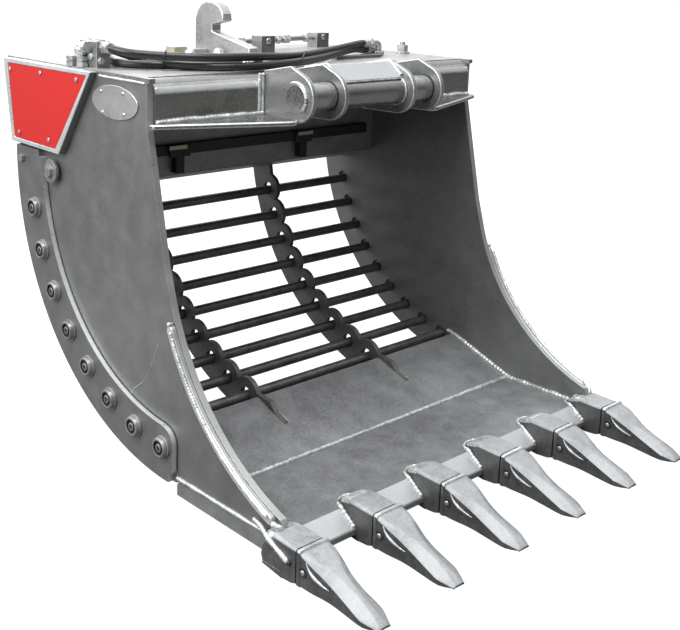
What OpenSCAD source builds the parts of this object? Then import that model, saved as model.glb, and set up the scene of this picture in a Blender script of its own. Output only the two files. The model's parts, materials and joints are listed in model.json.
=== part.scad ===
// Screening bucket: welded shell, loose screen bars, vibrating drive in the top box.
// +Z up, -Y towards the teeth, X across the width. Millimetres.

/* [Node] */
// which sub-part to build

/* [Shell] */
// width over the two side plates
shell_w = 1000; // [900:10:1200]
// thickness of a side plate
plate_t = 15; // [12:1:18]
// thickness of the cutting plate
cut_t = 40; // [32:1:44]
// thickness of the floor plate behind it
floor_t = 12; // [8:1:14]
// thickness of a rib
rib_t = 12; // [8:1:14]
// distance of each rib from the middle
rib_x = 200; // [170:5:230]
// thickness of the deck plate
deck_t = 10; // [8:1:12]

/* [Screen] */
// diameter of a screen bar
bar_d = 24; // [20:1:26]
// diameter of the rib holes and side pockets that hold the bars
bar_hole_d = 34; // [32:1:36]
// thickness of a retaining strip
strip_t = 12; // [8:1:12]

/* [Coupler] */
// diameter of the coupler pins
pin_d = 60; // [50:1:60]
// thickness of a coupler ear
ear_t = 12; // [10:1:16]
// distance of the outer ears' centres from the middle
ear_out_x = 200; // [190:1:215]
// distance of the inner ears' centres from the middle
ear_in_x = 107; // [95:1:115]
// thickness of the catch hook
hook_t = 30; // [20:1:40]

/* [Teeth] */
// distance of an outer tooth's middle from the shell's side
tooth_inset = 11.25; // [10:0.25:50]
// width of the root of a tooth
tooth_w = 74; // [66:1:78]
// width of the tip of a tooth
tip_w = 36; // [30:1:40]

/* [Drive] */
// diameter of the eccentric shaft
shaft_d = 50; // [40:1:56]
// radius of an eccentric weight
weight_r = 72; // [60:1:80]
// diameter of a hose
hose_d = 18; // [14:1:20]

/* [Hidden] */
half_share = 0.5;
turn_share = 180 / PI;
half_w = shell_w / 2;
half_in = half_w - plate_t;
wide_share = shell_w / 1000;
weld_gap = 0.2;
over = 5;
// the round back: its lowest point and radius, and the band that a strip covers
arc_low = 33;
arc_y = -79;
arc_r = 600;
arc_c = [arc_y, arc_low + arc_r];
arc_rear = arc_y + arc_r;
strip_band = 117;
strip_in_r = arc_r - strip_band;
join_drop = 8;
join_z = arc_c[1] - join_drop;
join_y = arc_y + sqrt(arc_r * arc_r - join_drop * join_drop);
// lip and heel
cut_z = 6;
cut_top = cut_z + cut_t;
heel_y = -97;
lip_y = -441;
lip_h = 14;
bevel_y = -400;
floor_front_y = -193;
floor_rear = [-5, 66.5];
floor_end_shares = [1 / 3, -1];
floor_foot_share = 2.8;
tip_y = -668;
tooth_low = 10;
// deck and box, set from the round back
deck_z = arc_c[1] + 205;
deck_top = deck_z + deck_t;
deck_rear = arc_rear + 54;
deck_corner = [deck_rear, deck_top];
wall_t = 8;
fold_shares = [3 / 8, 5 / 8];
front_wall_y = deck_rear - 250;
window_z = arc_c[1] - 62;
low_y = deck_rear - 135;
low_z = arc_c[1] - 99;
back_y = deck_rear - 63;
back_z = arc_c[1] - 57;
beam_d = 95;
beam_wall = 8;
beam_low = deck_z - 89;
flange_t = 10;
// the hollow front edge: a circle through its deepest point and a point over the lip
front_r = 508;
front_high = [-48, arc_c[1] - 58.5];
front_low = [-385.4, 96];
front_span = front_low - front_high;
front_across = [front_span[1], -front_span[0]] / norm(front_span);
front_c = (front_high + front_low) / 2 + front_across * sqrt(pow(front_r, 2) - pow(norm(front_span) / 2, 2));
edge_w = 19;
// the edge strip: lengths past the low point and short of the high one
edge_past = 28.4;
edge_short = 206.6;
edge_a0 = turn_to(front_low) - edge_past / front_r * turn_share;
edge_a1 = turn_to(front_high) - edge_short / front_r * turn_share;
edge_far_share = 1.5;
// bars
bar_count = 9;
bar_inset = 59;
bar_r0 = arc_r - bar_inset;
bar_a0 = -17.4;
bar_step = 7.5;
bar_r = bar_d / 2;
hole_r = bar_hole_d / 2;
bar_rest = 0.3;
bar_drop = hole_r - bar_r - bar_rest;
bar_play = 2 * (hole_r - bar_r) - 2 * bar_rest;
pocket_deep = 8;
thread_deep = 5;
bar_end_gap = 0.5;
bar_end = half_in + pocket_deep - bar_end_gap;
// ribs
rib_out_r = arc_r - 10;
rib_in_r = arc_r - 79;
scallop_r = 40;
rib_foot = [-32, 88];
rib_foot_r = 22;
rib_tail = [[-46, 200], [-46, 112], [-64, 93], [-100, 79], [-140, 65], [-140, 200]];
rib_reach = arc_r + over;
rib_top_drop = 60;
slot_gap = 1;
slot_len = 120;
// retaining strips and their bolts
bolt_count = 8;
bolt_inset = 72;
bolt_ring_r = arc_r - bolt_inset;
bolt_a0 = -13.2;
bolt_step = 10.77;
shank_r = 8;
shank_gap = 0.5;
collar_r = 24;
collar_t = 14;
recess_r = 15;
recess_d = 5;
recess_w = 2;
socket_r = 7.5;
socket_d = 6;
head_gap = 1;
strip_end_y = -62;
strip_nose = [-62, 113];
strip_nose_r = 36;
strip_toes = [[-98, 64], [-84, 30]];
strip_toe_w = 50;
strip_toe_c = [-84, 64];
strip_toe_r = 14;
strip_tab_w = 103;
strip_tab_h = 15;
washer_c = [arc_y + strip_in_r - 39, arc_c[1] - 25];
washer_ts = [8, 15, 23];
washer_rs = [14, 27, 12];
small_c = [arc_rear - 29, arc_c[1] - 13];
small_head = [1, 8, 17];
// coupler
pin_r = pin_d / 2;
pin_c = [-104, deck_z - 35];
ear_r = 52;
ear_top = [-83, deck_top + 20];
ear_low = [-98, beam_low - 12];
ear_root_top = [0, deck_top + 4];
ear_root_low = [0, beam_low - 12];
pin_proud = 3;
ear_gap = 0.1;
flange_reach = [[0, -112], [12, -120], [28, -118]];
flange_end_y = -14;
gusset_line = [[0, 5], [-83, 19], [-121, -14], [-114, -15.5], [-80, 11], [-8, -2]];
hook_line = [[-297, 0], [-297, 24], [-149, 55], [-149, 73], [-193, 82], [-191, 100], [-177, 118], [-151, 128],
    [-125, 129], [-105, 122], [-89, 106], [-80, 84], [-80, 0]];
// drive
drive_c = [deck_rear - 150, arc_c[1] + 67];
shaft_r = shaft_d / 2;
run_gap = 0.05;
shaft_ends = [60, 4];
weight_x = 250;
weight_t = 60;
bearing_r = 62;
bearing_t = 34;
motor_rs = [66, 50];
motor_ts = [22, 110];
motor_bore = [58, 120];
// teeth
tooth_count = 6;
tooth_pitch = (shell_w - 2 * tooth_inset) / (tooth_count - 1);
tooth_x0 = (tooth_count - 1) / 2;
pocket_w = 44;
pocket_gap = 0.5;
pocket_y = -540;
pocket_low = 14;
pocket_top = 56;
nose_gap = 2;
seam_y = -487;
pin12_r = 6;
pin12_c = [-503, 33];
pin12_gap = 0.2;
adapter_inset = 4;
hex_sides = 6;
hex_share = 1.1547;
// covers and plates
cover_t = 18;
tray_d = 3;
panel_t = 2;
panel_gap = 1;
rivet_r = 5;
rivet_h = 3;
cover_reach = 388;
cover_outer = from_corner([[-cover_reach, -3], [-11, -3], [-43, -193], [-253, -196]]);
panel_poly = from_corner([[-372, -12], [-31, -13], [-55, -183], [-239, -186]]);
rivet_spots = from_corner([[-333, -24], [-182, -24], [-43, -27], [-79, -169], [-213, -169]]);
badge_room = deck_rear - cover_reach;
badge_at_share = 0.6417;
badge_long_share = 0.4492;
badge_c = [badge_room * badge_at_share, deck_top - 59];
badge_a = badge_room * badge_long_share;
badge_b = 35;
badge_t = 3;
// seal: heights above the window's edge
seal_d = 14;
seal_h = 26;
seal_up = 51;
seal_ends = [10, 40];
clip_d = 22;
clip_plate = [60, 8, 26];
clip_plate_up = 47;
clip_stem = [24, 22, 40];
clip_stem_up = 7;
// deck
port_r = 9.3;
port_deep = 20;
port_block = [34, 66, 56];
port_block_at = [-480, 222];
port_x = -463;
port_top = deck_top + port_block[2];
port_ys = [239, 271];
hose_sides = 10;
hose_steps = 7;
left_blocks = [[[-447, 262, 28], [26, 22, 21]], [[-417, 330, 0], [26, 24, 32]]];
deck_blocks = [[[-179, 19, 0], [24, 22, 18]], [[268, 176, 0], [40, 36, 40]],
    [[155, 148, 0], [160, 22, 8]]];
// places on the rear half of the deck are given from its rear edge
rear_blocks = [[[380, -120, 0], [46, 40, 40]], [[-110, -120, 0], [40, 36, 16]], [[-380, -135, 0], [34, 40, 24]],
    [[90, -220, 0], [46, 40, 45]]];
hook_bar = [60, -135, 30, 10];
big_bolts = [[390, -321], [473, -357]];
big_bolt = [4, 20, 18, 26, 8, 7];
small_bolts = [[-133, -216], [-34, -202]];
small_bolt = [4, 17, 12, 20];

// room for the corner adapters, and the plate's own outline over the lip
adapter_room = [[-460, cut_top - 6], [-460, 70.2], [-405.2, 72.3], [-379.8, 56.3], [-373.7, cut_top + weld_gap],
    [-373.7, cut_top - 6]];
lip_line = [[-402, cut_top], [-416, 54], [-421, 66], [-419, 80], [-408, 96], [-200, 340]];

// an adapter's outline over and under the lip
adapter_over = [[seam_y + 1, 67], [-405, 72], [-380, 56], [-374, cut_top]];
adapter_under = [[-392, cut_z], [-392, 1], [-441, -5], [-474, -3], [seam_y + 1, 4]];

function turn_to(p) = atan2(p[1] - front_c[1], p[0] - front_c[0]);
function from_corner(list) = [for (p = list) deck_corner + p];
function bar_a(i) = bar_a0 - bar_step * i;
function hole_at(i) = arc_c + bar_r0 * [cos(bar_a(i)), sin(bar_a(i))];
function bar_at(i) = hole_at(i) - [0, bar_drop];
function bolt_at(i) = arc_c + bolt_ring_r * [cos(bolt_a0 - bolt_step * i), sin(bolt_a0 - bolt_step * i)];
function tooth_x(i) = (i - tooth_x0) * tooth_pitch;
// tangent point on a circle from an outside point
function tangent(c, r, p, side) =
    let (d = norm(p - c), a = atan2(p[1] - c[1], p[0] - c[0]) + side * acos(r / d))
    c + r * [cos(a), sin(a)];
// smooth curve through hand-chosen points
function curve(p, i, t) =
    let (n = len(p) - 1, a = p[max(i - 1, 0)], b = p[i], c = p[min(i + 1, n)], d = p[min(i + 2, n)])
    0.5 * (2 * b + (c - a) * t + (2 * a - 5 * b + 4 * c - d) * t * t + (3 * b - a - 3 * c + d) * t * t * t);
function path(p, n) = [for (i = [0:len(p) - 2]) for (k = [0:n - 1]) curve(p, i, k / n), p[len(p) - 1]];
function unit(v) = v / norm(v);
function tangent_at(p, i) = unit(p[min(i + 1, len(p) - 1)] - p[max(i - 1, 0)]);

// hose routes: heights are above the deck
hose_a = [[-463, 221.6, 44], [-463, 212, 44], [-463, 202, 44], [-439, 156, 36], [-380, 118, 31],
    [-310, 70, 29.5], [-200, 40, 29], [-40, 80, 22], [90, 128, 23], [192, 160, 30], [248, 182, 31],
    [258, 182, 31], [267.6, 182, 31]];
hose_b = [[-433, 261.6, 38], [-433, 254, 38], [-433, 246, 38], [-394, 200, 20], [-345, 146, 12],
    [-285, 96, 9.5], [-190, 68, 9.5], [-45, 104, 9.5], [80, 150, 10], [140, 168, 18], [200, 188, 18],
    [248, 202, 10], [258, 202, 10], [267.6, 202, 10]];
hose_c = [[-404, 329.6, 20], [-404, 321, 20], [-404, 312, 20], [-424, 250, 11], [-430, 195, 9.5],
    [-395, 150, 9.5], [-350, 112, 9.5], [-300, 70, 9.5], [-250, 42, 9.5], [-200, 30, 9.5],
    [-190, 30, 9.5], [-179.4, 30, 9.5]];

// a flat shape in Y and Z, given a thickness along X from x0
module slab(x0, t) {
    translate([x0, 0, 0])
        rotate([90, 0, 90])
            linear_extrude(t)
                children();
}

// one shape on the right and its mirror image on the left
module both() {
    children();
    mirror([1, 0, 0])
        children();
}

module rod_x(x0, x1, c, r) {
    translate([x0, c[0], c[1]])
        rotate([0, 90, 0])
            cylinder(h = x1 - x0, r = r, $fn = 64);
}

module hex_x(x0, x1, c, flats) {
    translate([x0, c[0], c[1]])
        rotate([0, 90, 0])
            cylinder(h = x1 - x0, r = flats * hex_share * half_share, $fn = hex_sides);
}

module hex_z(x, y, z, h, flats) {
    translate([x, y, z])
        cylinder(h = h, r = flats * hex_share * half_share, $fn = hex_sides);
}

module disc_z(x, y, z, h, r) {
    translate([x, y, z])
        cylinder(h = h, r = r, $fn = 48);
}

module at(c, r) {
    translate(c)
        circle(r = r, $fn = 64);
}

module holes_2d(r) {
    for (i = [0:bar_count - 1])
        at(hole_at(i), r);
}

module bolts_2d(r) {
    for (i = [0:bolt_count - 1])
        at(bolt_at(i), r);
}

module adapter_room_2d() {
    polygon(adapter_room);
}

module side_plate_2d() {
    difference() {
        polygon(concat(
            [[heel_y + weld_gap, 0], [heel_y + weld_gap, cut_top]],
            lip_line,
            [front_high - [0, 84.5], [beam_wall, beam_low + 3], [beam_wall, deck_z], [deck_rear, deck_z],
                [join_y, join_z], [deck_rear, join_z - half_share], [deck_rear, 0]]));
        adapter_room_2d();
        difference() {
            translate([heel_y + weld_gap, -over])
                square([deck_rear * 2, join_z + over]);
            translate(arc_c)
                circle(r = arc_r, $fn = 200);
        }
        translate(front_c)
            circle(r = front_r, $fn = 200);
    }
}

// the bars' ends sit in blind pockets on the inside, the strip bolts in blind holes on the outside
module side_plate_right() {
    color([0.60, 0.61, 0.62])
        difference() {
            slab(half_in, plate_t)
                side_plate_2d();
            for (i = [0:bar_count - 1])
                rod_x(half_in - over, half_in + pocket_deep, hole_at(i), hole_r);
            for (i = [0:bolt_count - 1])
                rod_x(half_w - thread_deep, half_w + over, bolt_at(i), shank_r + shank_gap);
            rod_x(half_w - thread_deep, half_w + over, washer_c, shank_r + shank_gap);
            rod_x(half_w - thread_deep, half_w + over, small_c, shank_r * half_share + shank_gap);
        }
}

module side_plate_left() {
    mirror([1, 0, 0])
        side_plate_right();
}

// bar welded to the outside of the lower front edge
module edge_strip_2d() {
    far = front_r * edge_far_share;
    intersection() {
        difference() {
            translate(front_c)
                circle(r = front_r + edge_w, $fn = 200);
            translate(front_c)
                circle(r = front_r, $fn = 200);
            adapter_room_2d();
        }
        polygon([front_c, for (a = [edge_a0, edge_a1]) front_c + far * [cos(a), sin(a)]]);
    }
}

module edge_strip_right() {
    color([0.68, 0.69, 0.70])
        slab(half_w, plate_t)
            edge_strip_2d();
}

module edge_strip_left() {
    mirror([1, 0, 0])
        edge_strip_right();
}

module cutting_plate() {
    color([0.60, 0.61, 0.62])
        slab(-half_w, shell_w)
            polygon([[heel_y, cut_z], [heel_y, cut_top - 16], [heel_y - 12, cut_top], [bevel_y, cut_top],
                [lip_y, cut_z + lip_h], [lip_y, cut_z]]);
}

module floor_plate() {
    color([0.60, 0.61, 0.62])
        difference() {
            slab(-half_in, half_in * 2)
                translate([0, cut_top])
                    polygon([[floor_front_y, 0], floor_rear, floor_rear + floor_t * floor_end_shares,
                        [floor_front_y + floor_t * floor_foot_share, 0]]);
            both()
                translate([rib_x - rib_t / 2 - slot_gap, heel_y - slot_gap, 0])
                    cube([rib_t + 2 * slot_gap, slot_len, arc_r]);
        }
}

module drive_box_outer_2d() {
    polygon([[front_wall_y, deck_z], [front_wall_y, window_z], [low_y, low_z], [back_y, back_z],
        [deck_rear - wall_t, deck_z]]);
}

module rib_2d() {
    difference() {
        intersection() {
            union() {
                difference() {
                    translate(arc_c)
                        circle(r = rib_out_r, $fn = 200);
                    translate(arc_c)
                        circle(r = rib_in_r, $fn = 200);
                }
                for (i = [0:bar_count - 1])
                    at(hole_at(i), scallop_r);
                at(rib_foot, rib_foot_r);
            }
            polygon([arc_c, [heel_y + weld_gap, arc_c[1] / 2], [heel_y + weld_gap, 0], [rib_reach, 0],
                [rib_reach, arc_c[1] - rib_top_drop]]);
        }
        drive_box_outer_2d();
        holes_2d(hole_r);
        polygon(rib_tail);
    }
}

module rib_right() {
    color([0.52, 0.53, 0.54])
        slab(rib_x - rib_t / 2, rib_t)
            rib_2d();
}

module rib_left() {
    mirror([1, 0, 0])
        rib_right();
}

module drive_housing() {
    color([0.56, 0.57, 0.58])
        slab(-half_in, half_in * 2)
            polygon([[front_wall_y, deck_z], [front_wall_y, window_z], [low_y, low_z], [back_y, back_z],
                [deck_rear - wall_t, deck_z], [deck_rear - 2 * wall_t, deck_z],
                [back_y - wall_t, back_z + wall_t * fold_shares[0]], [low_y, low_z + wall_t],
                [front_wall_y + wall_t, window_z + wall_t * fold_shares[1]], [front_wall_y + wall_t, deck_z]]);
}

module deck_plate() {
    color([0.62, 0.63, 0.64])
        translate([-half_w, 0, deck_z])
            cube([shell_w, deck_rear, deck_t]);
}

module front_beam() {
    color([0.60, 0.61, 0.62])
        slab(-half_in, half_in * 2)
            difference() {
                translate([0, beam_low])
                    square([beam_d, deck_z - beam_low]);
                translate([beam_wall, beam_low + beam_wall])
                    square([beam_d - 2 * beam_wall, deck_z - beam_low - 2 * beam_wall]);
            }
}

module beam_flange() {
    flange_x = ear_out_x + ear_t / 2 + weld_gap;
    color([0.66, 0.67, 0.68])
        both()
            translate([0, 0, beam_low])
                linear_extrude(flange_t)
                    polygon([[flange_x, 0], for (p = flange_reach) [flange_x, 0] + p, [half_w, flange_end_y],
                        [half_w, 0]]);
}

module ear_2d(bore) {
    difference() {
        union() {
            polygon([ear_root_low, ear_root_top, ear_top, tangent(pin_c, ear_r, ear_top, 1), pin_c,
                tangent(pin_c, ear_r, ear_low, -1), ear_low]);
            at(pin_c, ear_r);
        }
        at(pin_c, bore);
    }
}

module ear_pair_right() {
    color([0.62, 0.63, 0.64]) {
        slab(ear_out_x - ear_t / 2, ear_t)
            ear_2d(pin_r + ear_gap);
        slab(ear_in_x - ear_t / 2, ear_t)
            ear_2d(pin_r + ear_gap);
    }
}

module ear_pair_left() {
    mirror([1, 0, 0])
        ear_pair_right();
}

module coupler_pins() {
    color([0.66, 0.66, 0.66])
        both()
            rod_x(ear_in_x - ear_t / 2, ear_out_x + ear_t / 2 + pin_proud, pin_c, pin_r);
}

module centre_tube() {
    inner = ear_in_x - ear_t / 2 - weld_gap;
    color([0.66, 0.67, 0.68])
        difference() {
            rod_x(-inner, inner, pin_c, pin_r);
            rod_x(-inner - over, inner + over, pin_c, pin_r - wall_t);
        }
}

module coupler_gusset() {
    inner = ear_in_x - ear_t / 2 - weld_gap;
    color([0.70, 0.71, 0.72])
        slab(-inner, inner * 2)
            polygon([[0, deck_z], for (p = gusset_line) p + [0, deck_top], [-wall_t, deck_z]]);
}

module catch_hook() {
    color([0.62, 0.63, 0.64])
        slab(-hook_t / 2, hook_t)
            polygon(from_corner(hook_line));
}

module cover_2d(p) {
    polygon(p);
}

module side_cover_right() {
    color([0.70, 0.71, 0.72])
        difference() {
            slab(half_w, cover_t)
                cover_2d(cover_outer);
            slab(half_w + cover_t - tray_d, tray_d + over)
                cover_2d(panel_poly);
        }
}

module side_cover_left() {
    mirror([1, 0, 0])
        side_cover_right();
}

module panel_right() {
    color([0.80, 0.10, 0.08])
        slab(half_w + cover_t - tray_d, panel_t)
            offset(delta = -panel_gap)
                cover_2d(panel_poly);
}

module panel_left() {
    mirror([1, 0, 0])
        panel_right();
}

module panel_rivets() {
    x0 = half_w + cover_t - tray_d + panel_t;
    color([0.75, 0.75, 0.75])
        both()
            for (c = rivet_spots)
                rod_x(x0, x0 + rivet_h, c, rivet_r);
}

module badge_plate() {
    color([0.66, 0.67, 0.68])
        slab(-half_w - badge_t, badge_t)
            translate(badge_c)
                scale([badge_a / badge_b, 1])
                    circle(r = badge_b, $fn = 12 * 4);
}

module strip_2d() {
    difference() {
        union() {
            intersection() {
                difference() {
                    translate(arc_c)
                        circle(r = arc_r, $fn = 200);
                    translate(arc_c)
                        circle(r = strip_in_r, $fn = 200);
                }
                translate([strip_end_y, 0])
                    square([arc_r * 2, arc_c[1]]);
            }
            intersection() {
                translate(arc_c)
                    circle(r = arc_r, $fn = 200);
                union() {
                    at(strip_nose, strip_nose_r);
                    for (p = strip_toes)
                        translate(p)
                            square(strip_toe_w);
                    at(strip_toe_c, strip_toe_r);
                }
            }
            translate([arc_rear - strip_tab_w, arc_c[1] - over])
                square([strip_tab_w, strip_tab_h + over]);
        }
        bolts_2d(shank_r + shank_gap);
        at(small_c, shank_r * half_share + shank_gap);
    }
}

module retaining_strip_right() {
    color([0.58, 0.59, 0.60])
        slab(half_w, strip_t)
            strip_2d();
}

module retaining_strip_left() {
    mirror([1, 0, 0])
        retaining_strip_right();
}

module strip_bolts_right() {
    x0 = half_w + strip_t;
    color([0.66, 0.66, 0.66])
        for (i = [0:bolt_count - 1])
            difference() {
                union() {
                    rod_x(x0, x0 + collar_t, bolt_at(i), collar_r);
                    rod_x(half_w - thread_deep + head_gap, x0 + over, bolt_at(i), shank_r);
                }
                difference() {
                    rod_x(x0 + collar_t - recess_d, x0 + collar_t + over, bolt_at(i), recess_r);
                    rod_x(x0 + collar_t - recess_d, x0 + collar_t - head_gap, bolt_at(i), recess_r - recess_w);
                }
                hex_x(x0 + collar_t - socket_d - head_gap, x0 + collar_t + over, bolt_at(i), socket_r * 2);
            }
}

module strip_bolts_left() {
    mirror([1, 0, 0])
        strip_bolts_right();
}

module guide_bolts() {
    color([0.68, 0.68, 0.68])
        both() {
            rod_x(half_w - thread_deep + head_gap, half_w + over, washer_c, shank_r);
            rod_x(half_w, half_w + washer_ts[0], washer_c, washer_rs[0]);
            rod_x(half_w + washer_ts[0], half_w + washer_ts[1], washer_c, washer_rs[1]);
            hex_x(half_w + washer_ts[1], half_w + washer_ts[2], washer_c, washer_rs[2] * 2);
            rod_x(half_w - thread_deep + head_gap, half_w + strip_t + small_head[0], small_c,
                shank_r * half_share);
            hex_x(half_w + strip_t, half_w + strip_t + small_head[1], small_c, small_head[2]);
        }
}

module screen_bar(i) {
    color([0.40, 0.40, 0.41])
        rod_x(-bar_end, bar_end, bar_at(i), bar_r);
}

module bar_1() { screen_bar(0); }
module bar_2() { screen_bar(1); }
module bar_3() { screen_bar(2); }
module bar_4() { screen_bar(3); }
module bar_5() { screen_bar(4); }
module bar_6() { screen_bar(5); }
module bar_7() { screen_bar(6); }
module bar_8() { screen_bar(7); }
module bar_9() { screen_bar(8); }

// adapter, welded round the lip, with a nose inside the tooth
module tooth_adapter(i) {
    half = tooth_w / 2 - adapter_inset;
    color([0.62, 0.63, 0.64])
        difference() {
            translate([tooth_x(i), 0, 0])
                union() {
                    slab(-half, half * 2)
                        polygon(concat(
                            adapter_over,
                            [[bevel_y, cut_top], [lip_y, cut_z + lip_h], [lip_y, cut_z]],
                            adapter_under));
                    translate([-pocket_w / 2 + pocket_gap, pocket_y + nose_gap, pocket_low + pocket_gap])
                        cube([pocket_w - 2 * pocket_gap, seam_y - pocket_y, pocket_top - pocket_low - 2 * pocket_gap]);
                }
            rod_x(tooth_x(i) - tooth_w, tooth_x(i) + tooth_w, pin12_c, pin12_r + pin12_gap);
        }
}

module tooth_adapter_1() { tooth_adapter(0); }
module tooth_adapter_2() { tooth_adapter(1); }
module tooth_adapter_3() { tooth_adapter(2); }
module tooth_adapter_4() { tooth_adapter(3); }
module tooth_adapter_5() { tooth_adapter(4); }
module tooth_adapter_6() { tooth_adapter(5); }

// stations of a tooth: y, half width, top z, bottom z, corner
tooth_rows = [
    [seam_y, tooth_w / 2, 70, 1, 6],
    [seam_y - 9, tooth_w / 2, 69, 1, 6],
    [seam_y - 10, tooth_w / 2 - 2, 67, 2, 7],
    [-532, tooth_w / 2 - 3, 57, 0, 9],
    [-548, 31, 51, -2, 9],
    [-566, 26, 43, -5, 8],
    [-592, 22, 33, -8, 7],
    [-620, 20.5, 22, -tooth_low, 6],
    [-646, 20, 10, -9, 5],
    [tip_y, tip_w / 2, -2, -6, 1],
];

function section(r) =
    let (w = r[1], t = r[2], b = r[3], c = min(r[4], (t - b) / 2.2))
    [[w - c, r[0], t], [w, r[0], t - c], [w, r[0], b + c], [w - c, r[0], b], [-w + c, r[0], b], [-w, r[0], b + c],
        [-w, r[0], t - c], [-w + c, r[0], t]];

module tooth(i) {
    n = len(tooth_rows);
    pts = [for (r = tooth_rows) each section(r)];
    faces = concat(
        [[for (k = [0:7]) k]],
        [for (s = [0:n - 2]) for (k = [0:7]) [s * 8 + k, (s + 1) * 8 + k, (s + 1) * 8 + (k + 1) % 8]],
        [for (s = [0:n - 2]) for (k = [0:7]) [s * 8 + k, (s + 1) * 8 + (k + 1) % 8, s * 8 + (k + 1) % 8]],
        [[for (k = [7:-1:0]) (n - 1) * 8 + k]]);
    color([0.70, 0.71, 0.72])
        translate([tooth_x(i), 0, 0])
            difference() {
                polyhedron(points = pts, faces = faces, convexity = 4);
                translate([-pocket_w / 2, pocket_y, pocket_low])
                    cube([pocket_w, seam_y - pocket_y + over, pocket_top - pocket_low]);
                rod_x(-tooth_w, tooth_w, pin12_c, pin12_r + pin12_gap);
            }
}

module tooth_1() { tooth(0); }
module tooth_2() { tooth(1); }
module tooth_3() { tooth(2); }
module tooth_4() { tooth(3); }
module tooth_5() { tooth(4); }
module tooth_6() { tooth(5); }

module tooth_pins() {
    half = tooth_w / 2 - adapter_inset;
    color([0.45, 0.45, 0.45])
        for (i = [0:tooth_count - 1])
            rod_x(tooth_x(i) - half, tooth_x(i) + half, pin12_c, pin12_r);
}

// rubber strip along the housing, held by two T clips
module seal_strip() {
    color([0.05, 0.05, 0.05]) {
        translate([-half_in + seal_ends[0], front_wall_y - seal_d, window_z + seal_up])
            cube([half_in * 2 - seal_ends[0] - seal_ends[1], seal_d, seal_h]);
        both() {
            translate([rib_x - clip_plate[0] / 2, front_wall_y - clip_d, window_z + clip_plate_up])
                cube(clip_plate);
            translate([rib_x - clip_stem[0] / 2, front_wall_y - clip_d, window_z + clip_stem_up])
                cube(clip_stem);
        }
    }
}

module eccentric_shaft() {
    color([0.50, 0.50, 0.52]) {
        rod_x(-half_in + shaft_ends[0], half_in - shaft_ends[1], drive_c, shaft_r);
        both()
            slab(weight_x, weight_t)
                difference() {
                    at(drive_c, weight_r);
                    translate(drive_c - [weight_r + over, 0])
                        square([2 * (weight_r + over), weight_r + over]);
                }
    }
}

module drive_bearing() {
    color([0.30, 0.30, 0.32])
        difference() {
            rod_x(half_in - bearing_t, half_in - weld_gap, drive_c, bearing_r);
            rod_x(half_in - bearing_t * 2, half_in + over, drive_c, shaft_r + run_gap);
        }
}

module hydraulic_motor() {
    color([0.14, 0.14, 0.15])
        difference() {
            union() {
                rod_x(-half_in + weld_gap, -half_in + motor_ts[0], drive_c, motor_rs[0]);
                rod_x(-half_in + motor_ts[0], -half_in + motor_ts[1], drive_c, motor_rs[1]);
            }
            rod_x(-half_in + motor_bore[0], -half_in + motor_bore[1], drive_c, shaft_r + run_gap);
        }
}

// a closed tube swept along a curve
module hose(points) {
    p = [for (q = path(points, hose_steps)) [q[0] * wide_share, q[1], q[2] + deck_top]];
    n = len(p);
    r = hose_d / 2;
    rings = [for (i = [0:n - 1])
        let (t = tangent_at(p, i), s = unit(cross(t, [0, 0, 1])), u = cross(s, t))
        for (k = [0:hose_sides - 1]) p[i] + r * (cos(360 * k / hose_sides) * s + sin(360 * k / hose_sides) * u)];
    m = hose_sides;
    faces = concat(
        [[for (k = [0:m - 1]) k]],
        [for (i = [0:n - 2]) for (k = [0:m - 1]) [i * m + k, (i + 1) * m + k, (i + 1) * m + (k + 1) % m]],
        [for (i = [0:n - 2]) for (k = [0:m - 1]) [i * m + k, (i + 1) * m + (k + 1) % m, i * m + (k + 1) % m]],
        [[for (k = [m - 1:-1:0]) (n - 1) * m + k]]);
    polyhedron(points = rings, faces = faces, convexity = 8);
}

module hose_upper() {
    color([0.05, 0.05, 0.05])
        hose(hose_a);
}

module hose_lower() {
    color([0.05, 0.05, 0.05])
        hose(hose_b);
}

module hose_short() {
    color([0.05, 0.05, 0.05])
        hose(hose_c);
}

// blocks given as place and size, on the deck at a height, with places across the width kept to its share
module blocks(list, y0, share) {
    for (b = list)
        translate([b[0][0] * share, b[0][1] + y0, deck_top + b[0][2]])
            cube(b[1]);
}

module deck_fittings() {
    color([0.55, 0.55, 0.56]) {
        blocks(left_blocks, 0, wide_share);
        blocks(deck_blocks, 0, wide_share);
        blocks(rear_blocks, deck_rear, 1);
        for (x = [-hook_bar[0], hook_t / 2 + head_gap * half_share])
            translate([x, deck_rear + hook_bar[1], deck_top])
                cube([hook_bar[0] - hook_t / 2 - head_gap * half_share, hook_bar[2], hook_bar[3]]);
        difference() {
            translate([port_block_at[0] * wide_share, port_block_at[1], deck_top])
                cube(port_block);
            for (y = port_ys)
                disc_z(port_x * wide_share, y, port_top - port_deep, port_deep + over, port_r);
        }
    }
}

module deck_bolts() {
    b = big_bolt;
    m = small_bolt;
    color([0.70, 0.70, 0.70]) {
        for (c = big_bolts) {
            y = deck_rear + c[1];
            disc_z(c[0] * wide_share, y, deck_top, b[0], b[1]);
            hex_z(c[0] * wide_share, y, deck_top + b[0], b[2], b[3]);
            disc_z(c[0] * wide_share, y, deck_top + b[0] + b[2], b[4], b[5]);
        }
        for (c = small_bolts) {
            disc_z(c[0], deck_rear + c[1], deck_top, m[0], m[1]);
            hex_z(c[0], deck_rear + c[1], deck_top + m[0], m[2], m[3]);
        }
    }
}

module hull_shift() {
    translate([0, -pin_c[0], -pin_c[1]])
        children();
}

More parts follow.
